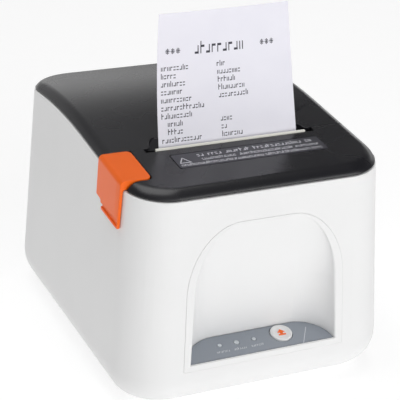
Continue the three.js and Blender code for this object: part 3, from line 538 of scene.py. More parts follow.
def panel_piece():
    slab = cut(above_panel(-PANEL_THICKNESS), above_panel(0))
    panel = common(niche_hollow(-GAP), slab, box(-FAR, FAR, PANEL_Y + PANEL_LIP + GAP, FAR, -10, FAR))
    cut(panel, prism("z", circle(BUTTON_X, BUTTON_S, BUTTON_RADIUS + GAP), -5, 5, on_panel))
    for x, radius in LIGHTS.values():
        cut(panel, prism("z", circle(x, LIGHT_S, radius + 0.15, 40), -5, 5, on_panel))
    piece(panel, "panel", "base", "grey_plastic", ["control_panel"], edge=0.25, angle=45)


def on_button(x, y, z):
    return on_panel(x + BUTTON_X, y + BUTTON_S, z)


def button_piece():
    """A dished key with a rounded rim, a flange below the panel and a stem for the switch."""
    flange = BUTTON_RADIUS + 1.2
    stem = [(2, -4.6), (2, -3.6), (flange, -3.6), (flange, -2.5), (BUTTON_RADIUS, -2.5)]
    rim = arc(BUTTON_RADIUS - 0.6, 0.4, 0.6, 0.55, 0, 90, 6)
    dish_width = BUTTON_RADIUS - 1.4 - MARK_RADIUS
    dish = []
    for i in range(9):
        height = 0.95 - 0.4 * math.sin(math.pi / 2 * i / 8)
        dish.append((MARK_RADIUS + 0.15 + dish_width * (1 - i / 8), height))
    button = turned([*stem, *rim, *dish, (MARK_RADIUS + 0.1, 0.5), (0.3, 0.5)], 96, on_button)
    piece(button, "feed_key", "button", "white_plastic", ["feed_button"])


def inlay_piece():
    """A generic paper-feed sign: a sheet with an arrow rising from it."""
    head = [(-2.1, 0.2), (2.1, 0.2), (0, 2.4)]
    stem = [(-0.75, -0.8), (0.75, -0.8), (0.75, 0.2), (-0.75, 0.2)]
    sheet = [(-2.0, -1.9), (2.0, -1.9), (2.0, -1.15), (-2.0, -1.15)]
    parts = [prism("z", outline, 0.45, 0.8, on_button) for outline in (head, stem, sheet)]
    piece(gather(parts), "feed_sign", "button", "orange_plastic", ["button_inlay"])


def light_pieces():
    for name, (x, radius) in LIGHTS.items():
        dome = [(radius * math.cos(a), 0.1 + 0.2 * math.sin(a)) for a in (0, 0.3, 0.6, 0.9, 1.2, 1.45)]
        place = lambda u, v, w, x=x: on_panel(u + x, v + LIGHT_S, w)
        pipe = turned([(radius, -5.2), *dome], 48, place)
        piece(pipe, f"lamp_{name[-1]}", "base", "light_pipe", [name])


# ---------------- generic print


def strokes(random_source, start, baseline, height, pitch, count, gaps=0.0):
    """Generic words: upright ticks and short bars that only stand for printed characters."""
    marks = []
    for k in range(count):
        x = start + k * pitch
        tall = height if random_source.random() < 0.3 else height * 0.68
        shape = random_source.randrange(4)
        bar = 0.18 * height
        if random_source.random() < gaps:
            continue
        thin = min(0.24 * pitch, 0.55)
        if shape in (0, 2):
            marks.append((x, x + thin, baseline, baseline + tall))
        if shape in (1, 2):
            marks.append((x + 0.5 * pitch, x + 0.5 * pitch + thin, baseline, baseline + height * 0.68))
        if shape in (1, 3):
            marks.append((x, x + 0.7 * pitch, baseline, baseline + bar))
        if shape in (0, 3):
            marks.append((x, x + 0.7 * pitch, baseline + 0.68 * height - bar, baseline + 0.68 * height))
    return marks


def print_marks(rectangles, thickness, place):
    """Thin raised ink for a list of (u0, u1, v0, v1) rectangles, in the axes that place maps from."""
    points, faces = [], []
    for u0, u1, v0, v1 in rectangles:
        first = len(points)
        for w in (0, thickness):
            points += [place(u0, v0, w), place(u1, v0, w), place(u1, v1, w), place(u0, v1, w)]
        quads = [(0, 3, 2, 1), (4, 5, 6, 7), (0, 1, 5, 4), (1, 2, 6, 5), (2, 3, 7, 6), (3, 0, 4, 7)]
        faces += [tuple(first + i for i in quad) for quad in quads]
    return build(points, faces)


# ---------------- top cover, bezel and lever


def top_skin():
    """The black top parts before they are parted: a bowl turned over, with a rounded rim on its skirt."""
    inner_round = TOP_ROUND - WALL
    inner = [upper_ring(WALL, depth) for depth in reversed(top_depths(WALL, inner_round, SKIRT - LIP))]
    rim = [upper_ring(inset, 2 * SKIRT - depth) for inset, depth in lip_profile(WALL, 0, SKIRT)[1:-1]]
    outer = [upper_ring(0, depth) for depth in top_depths(0, TOP_ROUND, SKIRT - LIP)]
    return loft([*inner, *rim, *outer], "rows")


def label_area(grow):
    return box(LABEL_LEFT - grow, LABEL_RIGHT + grow, LABEL_FRONT - grow, LABEL_REAR + grow, 100, FAR)


def bezel_piece():
    notch_front, notch_inner = LEVER_FRONT - 0.9, LEVER_INNER + 0.5
    size = LEVER_CORNER
    corner = arc(notch_inner - size, notch_front + size, size, size, 0, -90, 6)
    plan = [(-FAR, -FAR), (FAR, -FAR), (FAR, MOUTH_SIDE_Y), (MOUTH_HALF, MOUTH_SIDE_Y),
            (MOUTH_HALF, MOUTH_BEZEL_Y), (-MOUTH_HALF, MOUTH_BEZEL_Y), (-MOUTH_HALF, MOUTH_SIDE_Y),
            (notch_inner, MOUTH_SIDE_Y), *corner, (-FAR, notch_front)]
    bezel = common(top_skin(), prism("z", plan, 0, FAR))
    guide = box(-MOUTH_HALF, MOUTH_HALF, MOUTH_BEZEL_Y - 2, MOUTH_BEZEL_Y, 114, FAR)
    join(bezel, cut(common(guide, hull(0)), under_top(20)))
    boss = box(-48, -44, LEVER_Y - 3, LEVER_Y + 3, LEVER_Z - 3, FAR)
    join(bezel, common(boss, hull(1)))
    recess = cut(label_area(GAP), under_top(LABEL_THICKNESS + 0.1))
    cut(bezel, rod(LEVER_Y, LEVER_Z, LEVER_BORE, -FAR, -40), recess)
    piece(bezel, "bezel", "base", "black_plastic", ["front_bezel"], edge=0.4)


def label_piece():
    corner = 1.2
    centre = ((LABEL_LEFT + LABEL_RIGHT) / 2, (LABEL_FRONT + LABEL_REAR) / 2)
    half = ((LABEL_RIGHT - LABEL_LEFT) / 2, (LABEL_REAR - LABEL_FRONT) / 2)
    film = prism("z", rounded_rectangle(*centre, *half, corner), 100, FAR)
    label = cut(common(film, under_top(-0.04)), under_top(LABEL_THICKNESS))
    piece(label, "label", "base", "dark_label", ["label_plate"], edge=0.08, angle=45)


def tear_bar_piece():
    """A cream strip that stands just above the bezel, with fine teeth along its upper edge."""
    teeth = []
    for i in range(round(2 * TEAR_HALF / TEAR_PITCH) + 1):
        teeth.append((TEAR_HALF - TEAR_PITCH * i, TEAR_TOP if i % 2 else TEAR_TOP - TEAR_TOOTH))
    front = MOUTH_BEZEL_Y + GAP
    outline = [(-TEAR_HALF, TEAR_FOOT), (TEAR_HALF, TEAR_FOOT), *teeth]
    piece(prism("y", outline, front, front + TEAR_THICKNESS), "tear_strip", "base", "nylon", ["tear_bar"])


def lever_piece():
    side = [(LEVER_REAR, FAR), (LEVER_REAR, 105.2), (LEVER_REAR - 6, 104.4), (LEVER_REAR - 7.6, 99.5),
            (LEVER_FRONT + 0.3, 98), (LEVER_FRONT, 111.3), (LEVER_FRONT, FAR)]
    x, size = LEVER_INNER - LEVER_CORNER, LEVER_CORNER
    plan = [(-FAR, LEVER_REAR), (-FAR, LEVER_FRONT), *arc(x, LEVER_FRONT + size, size, size, -90, 0, 8),
            *arc(x, LEVER_REAR - size, size, size, 0, 90, 8)]
    form = hull(-LEVER_PROUD, -0.25, 2.4)
    lever = common(form, prism("x", side, -FAR, LEVER_INNER), prism("z", plan, 80, FAR))
    cut(lever, common(hull(-0.5), under_top(SKIRT)))
    join(lever, box(-67.4, -58, LEVER_Y - 2.6, LEVER_Y + 2.6, LEVER_Z - 2.6, LEVER_Z + 1))
    cut(lever, rod(LEVER_Y, LEVER_Z, LEVER_BORE, -67.8, -40), finger_hold())
    piece(lever, "lever", "lever", "orange_plastic", ["release_lever"], edge=0.3, angle=28)


def finger_hold():
    """The recess along the foot of the lever's wing, deepest under its upper edge, above a closing lip."""

    def section(y, top, bottom):
        outer = -HALF_WIDTH + SIDE_LEAN * top - LEVER_PROUD
        floor = [(outer + 1.2, y, top), (outer + 0.9, y, bottom)]
        return [(outer - 2, y, top + 0.2), *floor, (outer - 2, y, bottom)]

    return loft([section(LEVER_REAR - 5.0, 102.6, 101.2), section(LEVER_FRONT + 1.2, 103.4, 99.2)])


# ---------------- lid


def scoop(grow):
    corner = 9 + grow
    rear, rear_x, front_x = MOUTH_REAR_Y + grow, MOUTH_REAR_HALF + grow, MOUTH_HALF + grow
    plan = [(-front_x, -46), (front_x, -46), *arc(rear_x - corner, rear - corner, corner, corner, 0, 90, 12),
            *arc(corner - rear_x, rear - corner, corner, corner, 90, 180, 12)]
    drop = 1.3 * grow
    slope = [(-46, 114.2 - drop), (MOUTH_LID_Y, 118.6 - drop), (MOUTH_REAR_Y, 127.3 - drop),
             (MOUTH_REAR_Y + 6, FAR), (-46, FAR)]
    return common(prism("z", plan, 100, FAR), prism("x", slope, -FAR, FAR))


def hinge_arm(side):
    outline = [*arc(HINGE_Y, HINGE_Z, EYE_RADIUS, EYE_RADIUS, -90, 90, 20),
               (HINGE_Y - 22, HINGE_Z + EYE_RADIUS), (HINGE_Y - 22, 127.6), (HINGE_Y - 28, 128),
               (HINGE_Y - 28, HINGE_Z - EYE_RADIUS)]
    near, far = sorted((side * ARM_INNER, side * ARM_OUTER))
    return cut(prism("x", outline, near, far), pin_hole(near, far))


def lid_piece():
    behind_mouth = lambda: box(-FAR, FAR, MOUTH_LID_Y, FAR, 0, FAR)
    cover = common(top_skin(), behind_mouth())
    join(cover, common(scoop(2), hull(0), behind_mouth()))
    cut(cover, scoop(0))
    for side in (-1, 1):
        join(cover, hinge_arm(side))
    piece(cover, "cover", "lid", "black_plastic", ["lid"], edge=0.4)


# ---------------- paper

WRAP = PLATEN_RADIUS + 0.6
SHEET_THICKNESS = 0.12

# the strokes of one star, and how many characters stand in each row's left and right word
STAR = [(0, 2.4, 1.2, 1.7), (0.95, 1.45, 0, 3), (0.3, 0.8, 0.4, 0.9), (1.6, 2.1, 0.4, 0.9),
        (0.3, 0.8, 2.0, 2.5), (1.6, 2.1, 2.0, 2.5)]
RECEIPT_ROWS = [(9, 3), (5, 8), (8, 6), (7, 9), (10, 10), (14, 0), (10, 0), (5, 4), (5, 2), (13, 7)]


def inside_path():
    """The paper's middle line as (y, z): off the roll, round the platen and up to the mouth."""
    off = ROLL_RADIUS + 0.4
    dy, dz = ROLL_Y - PLATEN_Y, ROLL_Z - PLATEN_Z
    cross = math.asin((WRAP + off) / math.hypot(dy, dz))
    leave = math.degrees(math.atan2(dz, dy) + cross) - 90
    roll_angle = math.radians(leave + 180)
    start = (ROLL_Y + off * math.cos(roll_angle), ROLL_Z + off * math.sin(roll_angle))
    round_platen = arc(PLATEN_Y, PLATEN_Z, WRAP, WRAP, leave, -180, 24)
    return [start, *round_platen, (PAPER_Y, 115), (PAPER_Y, 118), (PAPER_Y, 121.5)]


def on_sheet(share, along):
    """(y, z) on the standing slip, at a share of its width from the left and a distance from the mouth."""
    leaned = 0.948 * along
    left = 5 * (1 - (1 - along / 51.4) ** 2)
    right = 0.295 * leaned - 0.0003 * leaned * leaned
    bow = 0.9 * math.sin(math.pi * share) * min(along / 30, 1)
    return PAPER_Y + left + (right - left) * share - bow, PAPER_Z + along + (leaned - along) * share


def paper_piece():
    columns, rows = 24, 60
    grid = [[(y, z)] * (columns + 1) for y, z in inside_path()]
    for i in range(rows + 1):
        along = (PAPER_END - PAPER_Z) * i / rows
        grid.append([on_sheet(k / columns, along) for k in range(columns + 1)])
    rings = []
    for i, row in enumerate(grid):
        before, after = grid[max(i - 1, 0)], grid[min(i + 1, len(grid) - 1)]
        sides = {1: [], -1: []}
        for k, (y, z) in enumerate(row):
            run = Vector((after[k][0] - before[k][0], after[k][1] - before[k][1])).normalized()
            x = -PAPER_WIDTH / 2 + PAPER_WIDTH * k / columns
            for side, points in sides.items():
                shift = side * SHEET_THICKNESS / 2
                points.append((x, y - run.y * shift, z + run.x * shift))
        rings.append([*sides[1], *reversed(sides[-1])])
    piece(loft(rings), "receipt", "base", "paper", ["paper_strip"])


def receipt_marks():
    """A generic test slip: a heading between two groups of stars, then two columns of words."""
    source = random.Random(7)
    foot = 49.0
    marks = []
    for group in (-35.3, 20.5):
        for k in range(3):
            x = group + 3 * k
            marks += [(x + u0, x + u1, foot + v0, foot + v1) for u0, u1, v0, v1 in STAR]
    marks += strokes(source, -18.5, 47.9, 6.6, 3.3, 9)
    for row, (left, right) in enumerate(RECEIPT_ROWS):
        baseline = 40.3 - 4.2 * row
        indent = 3.4 if row in (7, 8) else 0
        marks += strokes(source, -37.6 + indent, baseline, 3.0, 1.75, left)
        marks += strokes(source, -5.8 + 0.24 * row, baseline, 3.0, 1.75, right)
    return marks


def on_slip(u, along, w):
    y, z = on_sheet((u + PAPER_WIDTH / 2) / PAPER_WIDTH, along)
    return (u, y - SHEET_THICKNESS / 2 - 0.008 - w, z)


def roll_piece():
    half, outer, bore, edge = PAPER_WIDTH / 2, ROLL_RADIUS, CORE_RADIUS + 0.2, 0.3
    section = [(bore, -half), (outer - edge, -half), (outer, -half + edge), (outer, half - edge),
               (outer - edge, half), (bore, half)]
    rings = [[(x, y, z) for z, y in circle(ROLL_Z, ROLL_Y, radius, 128)] for radius, x in section]
    piece(loft(rings, "loop"), "roll", "roll", "roll_paper", ["paper_roll"])


# ---------------- rear sockets, switch and underside

SOCKETS = {
    "power_inlet": (-37, 12, 9, 9),
    "usb_socket": (-18, 11, 8.4, 7.6),
    "network_socket": (0, 14, 12, 9),
    "drawer_socket": (19, 12, 9.6, 7.4),
}
SOCKET_FLOOR, SOCKET_DEEP, PLATE_FACE, PLATE_MID = 31, 82.6, 90.5, 38
SHIELD_WALL, SHIELD_FACE, TONGUE_END = 0.3, 91.9, 90.2
CONTACT_PITCH, CONTACT_END = 1.02, 90.4
SWITCH_X, SWITCH_Y, SWITCH_Z, SWITCH_TILT = 39, 86, 38, math.radians(9)


def socket_mid(name):
    x, height, _, _ = SOCKETS[name]
    return x, SOCKET_FLOOR + height / 2


def liner(name):
    """A thin metal shield that lines a socket's hole."""
    x, z = socket_mid(name)
    half_x, half_z = SOCKETS[name][2] / 2 - 0.05, SOCKETS[name][3] / 2 - 0.05
    in_x, in_z = half_x - SHIELD_WALL, half_z - SHIELD_WALL
    outside = box(x - half_x, x + half_x, SOCKET_DEEP, SHIELD_FACE, z - half_z, z + half_z)
    return cut(outside, box(x - in_x, x + in_x, 80, 95, z - in_z, z + in_z))


def contacts(name, count):
    """A row of spring fingers under the roof of a socket."""
    x, z = socket_mid(name)
    z0 = z + (SOCKETS[name][3] / 2 - 0.5 - 0.7)
    fingers = []
    for k in range(count):
        centre = x + (k - (count - 1) / 2) * CONTACT_PITCH
        fingers.append(box(centre - 0.22, centre + 0.22, SOCKET_DEEP, CONTACT_END, z0, z0 + 0.5))
    return gather(fingers)


def rear_pieces():
    x, z = socket_mid("power_inlet")
    bore = prism("y", circle(x, z, 3.3), SOCKET_DEEP + 0.6, 95)
    barrel = cut(prism("y", circle(x, z, 4.3), SOCKET_DEEP, 91.4), bore)
    piece(barrel, "inlet_barrel", "base", "black_plastic", edge=0.15)
    pin = prism("y", circle(x, z, 1.0, 32), SOCKET_DEEP, TONGUE_END)
    piece(pin, "inlet_pin", "base", "brass", edge=0.3)
    x, z = socket_mid("usb_socket")
    piece(liner("usb_socket"), "usb_shield", "base", "steel", edge=0.06)
    tongue = box(x - 2.8, x + 2.8, SOCKET_DEEP, TONGUE_END, z - 1.6, z + 1.6)
    piece(tongue, "usb_tongue", "base", "white_plastic", edge=0.3)
    piece(liner("network_socket"), "network_shield", "base", "steel", edge=0.06)
    piece(contacts("network_socket", 8), "network_contacts", "base", "brass")
    piece(contacts("drawer_socket", 6), "drawer_contacts", "base", "brass")
    for number, x in enumerate((-27.1, 29)):
        place = lambda u, v, w, x=x: (x + u, PLATE_FACE + w, PLATE_MID + v)
        dome = [(1.9, 0), (1.9, 0.35), (1.7, 0.62), (1.2, 0.85), (0.5, 0.95)]
        head = cut(turned(dome, 48, place), screw_cross(1.3, 0.45, 0.35, 2, place))
        piece(head, f"plate_screw_{number + 1}", "base", "steel")


def screw_cross(reach, width, start, end, place):
    half = width / 2
    across = box(-half, half, -reach, reach, start, end, place)
    return join(box(-reach, reach, -half, half, start, end, place), across)


def rocker_sign_pieces():
    """The usual on and off signs, a bar and a ring, on the two ends of the rocker."""
    cosine, sine = math.cos(SWITCH_TILT), math.sin(SWITCH_TILT)

    def place(side):
        def on_face(a, b, w):
            v = side * (5.3 + b)
            u = 5.6 + 0.4 * (abs(v) - 4) / 3.5 + 0.01 + w
            return (SWITCH_X + a, SWITCH_Y + u * cosine + v * sine, SWITCH_Z + v * cosine - u * sine)
        return on_face

    bar = box(-0.25, 0.25, -1.2, 1.2, 0, 0.05, place(1))
    outer, inner = circle(0, 0, 1.25, 40), circle(0, 0, 0.85, 40)
    levels = ((inner, 0), (outer, 0), (outer, 0.05), (inner, 0.05))
    rings = [[(a, b, w) for a, b in outline] for outline, w in levels]
    piece(gather([bar, loft(rings, "loop", place(-1))]), "rocker_signs", "rocker", "white_ink")


def at_node(node):
    """The axes over a CAD node's middle in plan, and the heights of its underside and top."""
    low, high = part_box(node)
    middle = (low + high) / 2 / MM
    place = lambda u, v, w: (middle.x + u, middle.y + v, w)
    return place, low.z / MM - LIFT, high.z / MM - LIFT


def foot_pieces():
    for number in range(1, 5):
        node = f"rubber_foot_{number}"
        place, bottom, top = at_node(node)
        profile = [(1, bottom + 0.35), (4.2, bottom + 0.35), (4.6, bottom + 0.1), (4.9, bottom),
                   (6.2, bottom), (6.7, bottom + 0.15), (7, bottom + 0.55), (7, top)]
        piece(turned(profile, 96, place), f"foot_{number}", "base", "rubber", [node])


def base_screw_pieces():
    for number in range(1, 5):
        node = f"base_screw_{number}"
        place, bottom, top = at_node(node)
        profile = [(2.0, bottom), (2.5, bottom + 0.12), (2.7, bottom + 0.4), (2.7, bottom + 0.8),
                   (1.4, bottom + 0.8), (1.4, top - 0.6), (0.9, top)]
        screw = cut(turned(profile, 48, place), screw_cross(1.6, 0.5, -1, bottom + 0.5, place))
        piece(screw, f"screw_{number}", "base", "steel", [node])


def rating_plate_piece():
    plate = prism("z", rounded_rectangle(0, -4, 27, 15, 1.5), -0.09, -0.005)
    piece(plate, "rating_plate", "base", "foil_label")
    source = random.Random(3)
    marks = []
    for row in range(6):
        marks += strokes(source, -23, 6 - 4 * row, 1.9, 1.3, 12 + (row * 5) % 9)
    under_plate = lambda x, y, w: (x, y, -0.095 - w)
    print_piece(print_marks(marks, 0.02, under_plate), "rating_print", "dark_ink")


def print_piece(shape, name, ink):
    """Names a printed shape, inks it and rides it on the base."""
    shape.name = name
    shape.data.name = name
    shape.data.materials.append(MATERIALS[ink])
    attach(shape, "base")


# ---------------- print on the label, panel and slip


def top_at(y):
    """Height of the leaned top surface at a depth y."""
    z = FRONT_HEIGHT
    for _ in range(6):
        lean = FRONT_LEAN if y < 0 else REAR_LEAN
        z = top_height(y / (1 - lean * z / HALF_DEPTH))
    return z


def label_marks():
    """An open-and-lift sign at the left and two rows of generic words."""
    source = random.Random(11)
    marks = []
    for k in range(9):
        reach = 3.1 * (1 - k / 9)
        y = -61.4 + 0.62 * k
        left, right = -33.2 - reach, -33.2 + reach
        marks += [(left, left + 0.5, y, y + 0.62), (right - 0.5, right, y, y + 0.62)]
    marks += [(-36.4, -30, -61.4, -60.9)]
    marks += strokes(source, -24.5, -56.4, 3.2, 2.0, 34, 0.15)
    marks += strokes(source, -24.5, -60.6, 2.7, 1.0, 68, 0.08)
    marks += strokes(source, -36.4, -64.6, 2.7, 1.0, 80, 0.08)
    return marks


def panel_marks():
    source = random.Random(5)
    marks = []
    for x, _ in LIGHTS.values():
        marks += strokes(source, x - 3.4, 5.2, 1.7, 1.05, 7)
    return marks


def panel_line():
    """The light line that sets off the right end of the panel."""
    (x0, s0), (x1, s1) = (23.5, 0.9), (30.3, 12.1)
    outline = [(x0 - 0.2, s0), (x0 + 0.2, s0), (x1 + 0.2, s1), (x1 - 0.2, s1)]
    return prism("z", outline, 0.01, 0.04, on_panel)


def print_pieces():
    on_label = lambda x, y, w: (x, y, top_at(y) + 0.05 + w)
    over_panel = lambda x, s, w: on_panel(x, s, 0.01 + w)
    print_piece(print_marks(receipt_marks(), 0.01, on_slip), "receipt_print", "thermal_ink")
    print_piece(print_marks(label_marks(), 0.02, on_label), "label_print", "grey_ink")
    print_piece(print_marks(panel_marks(), 0.03, over_panel), "panel_print", "white_ink")
    print_piece(panel_line(), "panel_line", "white_ink")


# ---------------- CAD nodes that keep their shape

# by finish: each node, with the radius in millimetres that its sharp edges are broken to
KEPT = {
    "steel": {"lever_pin": 0.15, "hinge_pin_left": 0.2, "hinge_pin_right": 0.2, "platen_bracket": 0.25,
              "platen_shaft": 0.3, "idler_pin": 0.2, "mech_frame": 0.2, "feed_motor": 0.4,
              "socket_plate": 0.12, "lever_spring": 0, "head_spring_left": 0, "head_spring_right": 0},
    "grey_plastic": {"base_plate": 0.3},
    "black_plastic": {"lid_liner": 0.3, "roll_bucket": 0.3, "power_inlet": 0.2, "usb_socket": 0.2,
                      "network_socket": 0.2, "drawer_socket": 0.2, "switch_frame": 0.3,
                      "power_rocker": 0.35},
    "rubber": {"platen_rubber": 0.3},
    "nylon": {"platen_gear": 0.08, "idler_gear": 0.08, "head_ribbon": 0},
    "brass": {"motor_pinion": 0.08, "shaft_bush_left": 0.2, "shaft_bush_right": 0.2},
    "aluminium": {"print_head": 0.25},
    "circuit_board": {"main_board": 0.1, "control_board": 0.1},
    "card": {"roll_core": 0.15},
}


def refine(mesh, width):
    """Merges a CAD mesh's facets and breaks its sharp edges."""
    bmesh.ops.remove_doubles(mesh, verts=mesh.verts, dist=0.001 * MM)
    bmesh.ops.dissolve_limit(mesh, angle_limit=math.radians(0.5), verts=mesh.verts, edges=mesh.edges)
    if width:
        sharp = [edge for edge in mesh.edges if len(edge.link_faces) == 2 and edge.calc_face_angle() > 0.7]
        bmesh.ops.bevel(mesh, geom=sharp, offset=width * MM, segments=2, profile=0.5, affect="EDGES",
                        clamp_overlap=True)


def refined_pieces():
    """A refined copy of each CAD node that keeps its shape."""
    for material, nodes in KEPT.items():
        for node, width in nodes.items():
            source = frame["nodes"][node]
            shape = new_object("shape", source.data.copy())
            with edited(shape.data) as mesh:
                refine(mesh, width)
            piece(shape, f"{node}_finished", source["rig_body"], material, [node])


# ---------------- materials


def add_node(tree, kind, output, values, wires, **settings):
    """Adds a node with its settings, fixed inputs and wired inputs, and gives one of its outputs."""
    node = tree.nodes.new(f"ShaderNode{kind}")
    for name, value in settings.items():
        setattr(node, name, value)
    for name, value in values.items():
        node.inputs[name].default_value = value
    for name, wire in wires.items():
        tree.links.new(wire, node.inputs[name])
    return node.outputs[output]


class Finish:
    """A material on a Principled shader, with its textures laid out in object space."""

    def __init__(self, name):
        material = bpy.data.materials.new(name)
        material.use_nodes = True
        self.tree = material.node_tree
        self.inputs = self.tree.nodes["Principled BSDF"].inputs
        self.place = self.add("TexCoord", "Object", {}, {})
        MATERIALS[name] = material

    def add(self, kind, output, values, wires, **settings):
        return add_node(self.tree, kind, output, values, wires, **settings)

    def noise(self, scale, detail, stretch=(1, 1, 1)):
        stretched = self.add("Mapping", "Vector", {"Scale": stretch}, {"Vector": self.place})
        return self.add("TexNoise", "Fac", {"Scale": scale, "Detail": detail}, {"Vector": stretched})

    def spread(self, value, low, high):
        """A number that runs from low to high over the middle of a noise."""
        values = {"From Min": 0.3, "From Max": 0.7, "To Min": low, "To Max": high}
        return self.add("MapRange", "Result", values, {"Value": value})

    def set(self, name, value):
        self.inputs[name].default_value = value

    def color(self, value, dark, light):
        values = {"A": (*dark, 1), "B": (*light, 1)}
        mixed = self.add("Mix", "Result", values, {"Factor": value}, data_type="RGBA")
        self.tree.links.new(mixed, self.inputs["Base Color"])

    def roughness(self, value, low, high):
        self.tree.links.new(self.spread(value, low, high), self.inputs["Roughness"])

    def relief(self, height, distance, strength):
        """Bumps of a distance in millimetres."""
        values = {"Distance": distance * MM, "Strength": strength}
        self.tree.links.new(self.add("Bump", "Normal", values, {"Height": height}), self.inputs["Normal"])


def moulded(name, color, roughness, grain, depth, vary, specular=0.5):
    """Moulded plastic: fine spark-eroded grain, faint flow in the colour and patches of different gloss."""
    finish = Finish(name)
    dark = tuple(c * (1 - vary) for c in color)
    light = tuple(min(c * (1 + vary), 1) for c in color)
    finish.color(finish.spread(finish.noise(22, 3), 0, 1), dark, light)
    finish.roughness(finish.noise(35, 2), roughness - 0.008, roughness + 0.012)
    finish.relief(finish.noise(1000 / grain, 2), depth, 0.5)
    finish.set("Specular IOR Level", specular)


def metal(name, color, roughness, stretch, depth):
    """Drawn or brushed metal: long fine scratches along one axis, with patchy gloss."""
    finish = Finish(name)
    scratches = finish.noise(900, 3, stretch)
    finish.color(finish.spread(scratches, 0, 1), tuple(c * 0.86 for c in color), color)
    finish.roughness(scratches, roughness - 0.07, roughness + 0.1)
    finish.relief(scratches, depth, 0.4)
    finish.set("Metallic", 1.0)


def rubber_finish():
    finish = Finish("rubber")
    grain = finish.noise(1400, 4)
    finish.color(grain, (0.012, 0.012, 0.013), (0.035, 0.034, 0.034))
    finish.roughness(grain, 0.7, 0.95)
    finish.relief(grain, 0.08, 0.6)


def paper_finish():
    """Coated thermal paper: smooth and slightly blue, with a trace of fibres."""
    finish = Finish("paper")
    fibres = finish.noise(700, 5, (1, 1, 0.35))
    finish.color(finish.spread(finish.noise(45, 3), 0, 1), (0.83, 0.82, 0.895), (0.86, 0.85, 0.92))
    finish.roughness(fibres, 0.5, 0.72)
    finish.relief(fibres, 0.02, 0.5)


def roll_paper_finish():
    """Paper wound on a roll: its edge shows the layers as fine rings round the axis."""
    finish = Finish("roll_paper")
    centre = (0, -ROLL_Y * MM, -(ROLL_Z + LIFT) * MM)
    centred = finish.add("Mapping", "Vector", {"Location": centre}, {"Vector": finish.place})
    values = {"Scale": 420, "Distortion": 1.2, "Detail": 2}
    layers = finish.add("TexWave", "Fac", values, {"Vector": centred}, wave_type="RINGS",
                        rings_direction="X")
    finish.color(layers, (0.66, 0.65, 0.7), (0.84, 0.83, 0.88))
    finish.set("Roughness", 0.7)
    finish.relief(layers, 0.05, 0.4)


def board_finish():
    """Green solder mask over copper tracks."""
    finish = Finish("circuit_board")
    tracks = finish.add("TexVoronoi", "Distance", {"Scale": 210}, {"Vector": finish.place},
                        distance="MANHATTAN", feature="F1")
    finish.color(tracks, (0.015, 0.12, 0.05), (0.05, 0.28, 0.12))
    finish.roughness(finish.noise(300, 3), 0.3, 0.5)
    finish.relief(tracks, 0.05, 0.5)


def card_finish():
    finish = Finish("card")
    fibres = finish.noise(500, 6, (0.4, 1, 1))
    finish.color(fibres, (0.30, 0.21, 0.12), (0.52, 0.40, 0.26))
    finish.set("Roughness", 0.9)
    finish.relief(fibres, 0.08, 0.7)


def light_pipe_finish():
    finish = Finish("light_pipe")
    clouds = finish.noise(900, 3)
    finish.color(clouds, (0.48, 0.52, 0.56), (0.62, 0.65, 0.68))
    finish.roughness(clouds, 0.12, 0.25)
    finish.relief(clouds, 0.01, 0.3)
    finish.set("Coat Weight", 0.6)


def ink(name, color, roughness):
    """Print: slightly uneven cover over a satin film."""
    finish = Finish(name)
    cover = finish.noise(1800, 3)
    finish.color(cover, tuple(c * 0.85 for c in color), color)
    finish.roughness(cover, roughness - 0.05, roughness + 0.08)


def make_finishes():
    moulded("white_plastic", (0.81, 0.81, 0.81), 0.42, 0.35, 0.006, vary=0.012)
    moulded("black_plastic", (0.012, 0.0118, 0.0145), 0.27, 0.3, 0.0008, vary=0.06)
    moulded("grey_plastic", (0.28, 0.308, 0.35), 0.38, 0.35, 0.010, vary=0.04)
    moulded("orange_plastic", (0.95, 0.145, 0.006), 0.36, 0.3, 0.003, vary=0.03, specular=0.35)
    moulded("dark_label", (0.036, 0.035, 0.046), 0.40, 0.25, 0.006, vary=0.06)
    moulded("nylon", (0.95, 0.94, 0.86), 0.45, 0.5, 0.010, vary=0.03)
    metal("steel", (0.62, 0.63, 0.65), 0.28, (0.05, 1, 1), 0.02)
    metal("aluminium", (0.72, 0.73, 0.75), 0.36, (1, 1, 0.06), 0.02)
    metal("brass", (0.74, 0.55, 0.25), 0.27, (0.08, 1, 1), 0.02)
    metal("foil_label", (0.66, 0.67, 0.69), 0.42, (0.03, 1, 1), 0.01)
    rubber_finish()
    paper_finish()
    roll_paper_finish()
    board_finish()
    card_finish()
    light_pipe_finish()
    ink("thermal_ink", (0.035, 0.033, 0.05), 0.55)
    ink("grey_ink", (0.74, 0.74, 0.78), 0.5)
    ink("white_ink", (0.72, 0.74, 0.78), 0.45)
    ink("dark_ink", (0.05, 0.05, 0.06), 0.5)


# ---------------- surroundings


def make_camera():
    """The camera stands in front and to the left, well above the printer, and leans a little."""
    yaw, pitch, roll = math.radians(24.811), math.radians(24.048), math.radians(2.202)
    forward = Vector((math.sin(yaw) * math.cos(pitch), math.cos(yaw) * math.cos(pitch), -math.sin(pitch)))
    level_right = Vector((math.cos(yaw), -math.sin(yaw), 0))
    level_up = level_right.cross(forward)
    right = math.cos(roll) * level_right + math.sin(roll) * level_up
    up = -math.sin(roll) * level_right + math.cos(roll) * level_up
    target, distance = Vector((4.16, 1.01, 71.7 + LIFT)), 803.26
    data = bpy.data.cameras.new("camera")
    data.sensor_width = 36
    data.lens = 127.8
    camera = new_object("camera", data)
    axes = Matrix((right, up, -forward)).transposed().to_4x4()
    camera.matrix_world = Matrix.Translation((target - forward * distance) * MM) @ axes
    bpy.context.scene.camera = camera


def soft_light(name, place, aim, size, watts):
    data = bpy.data.lights.new(name, "AREA")
    data.shape = "RECTANGLE"
    data.size, data.size_y = size
    data.energy = watts
    light = new_object(name, data)
    light.location = place
    light.rotation_euler = (Vector(aim) - Vector(place)).to_track_quat("-Z", "Y").to_euler()


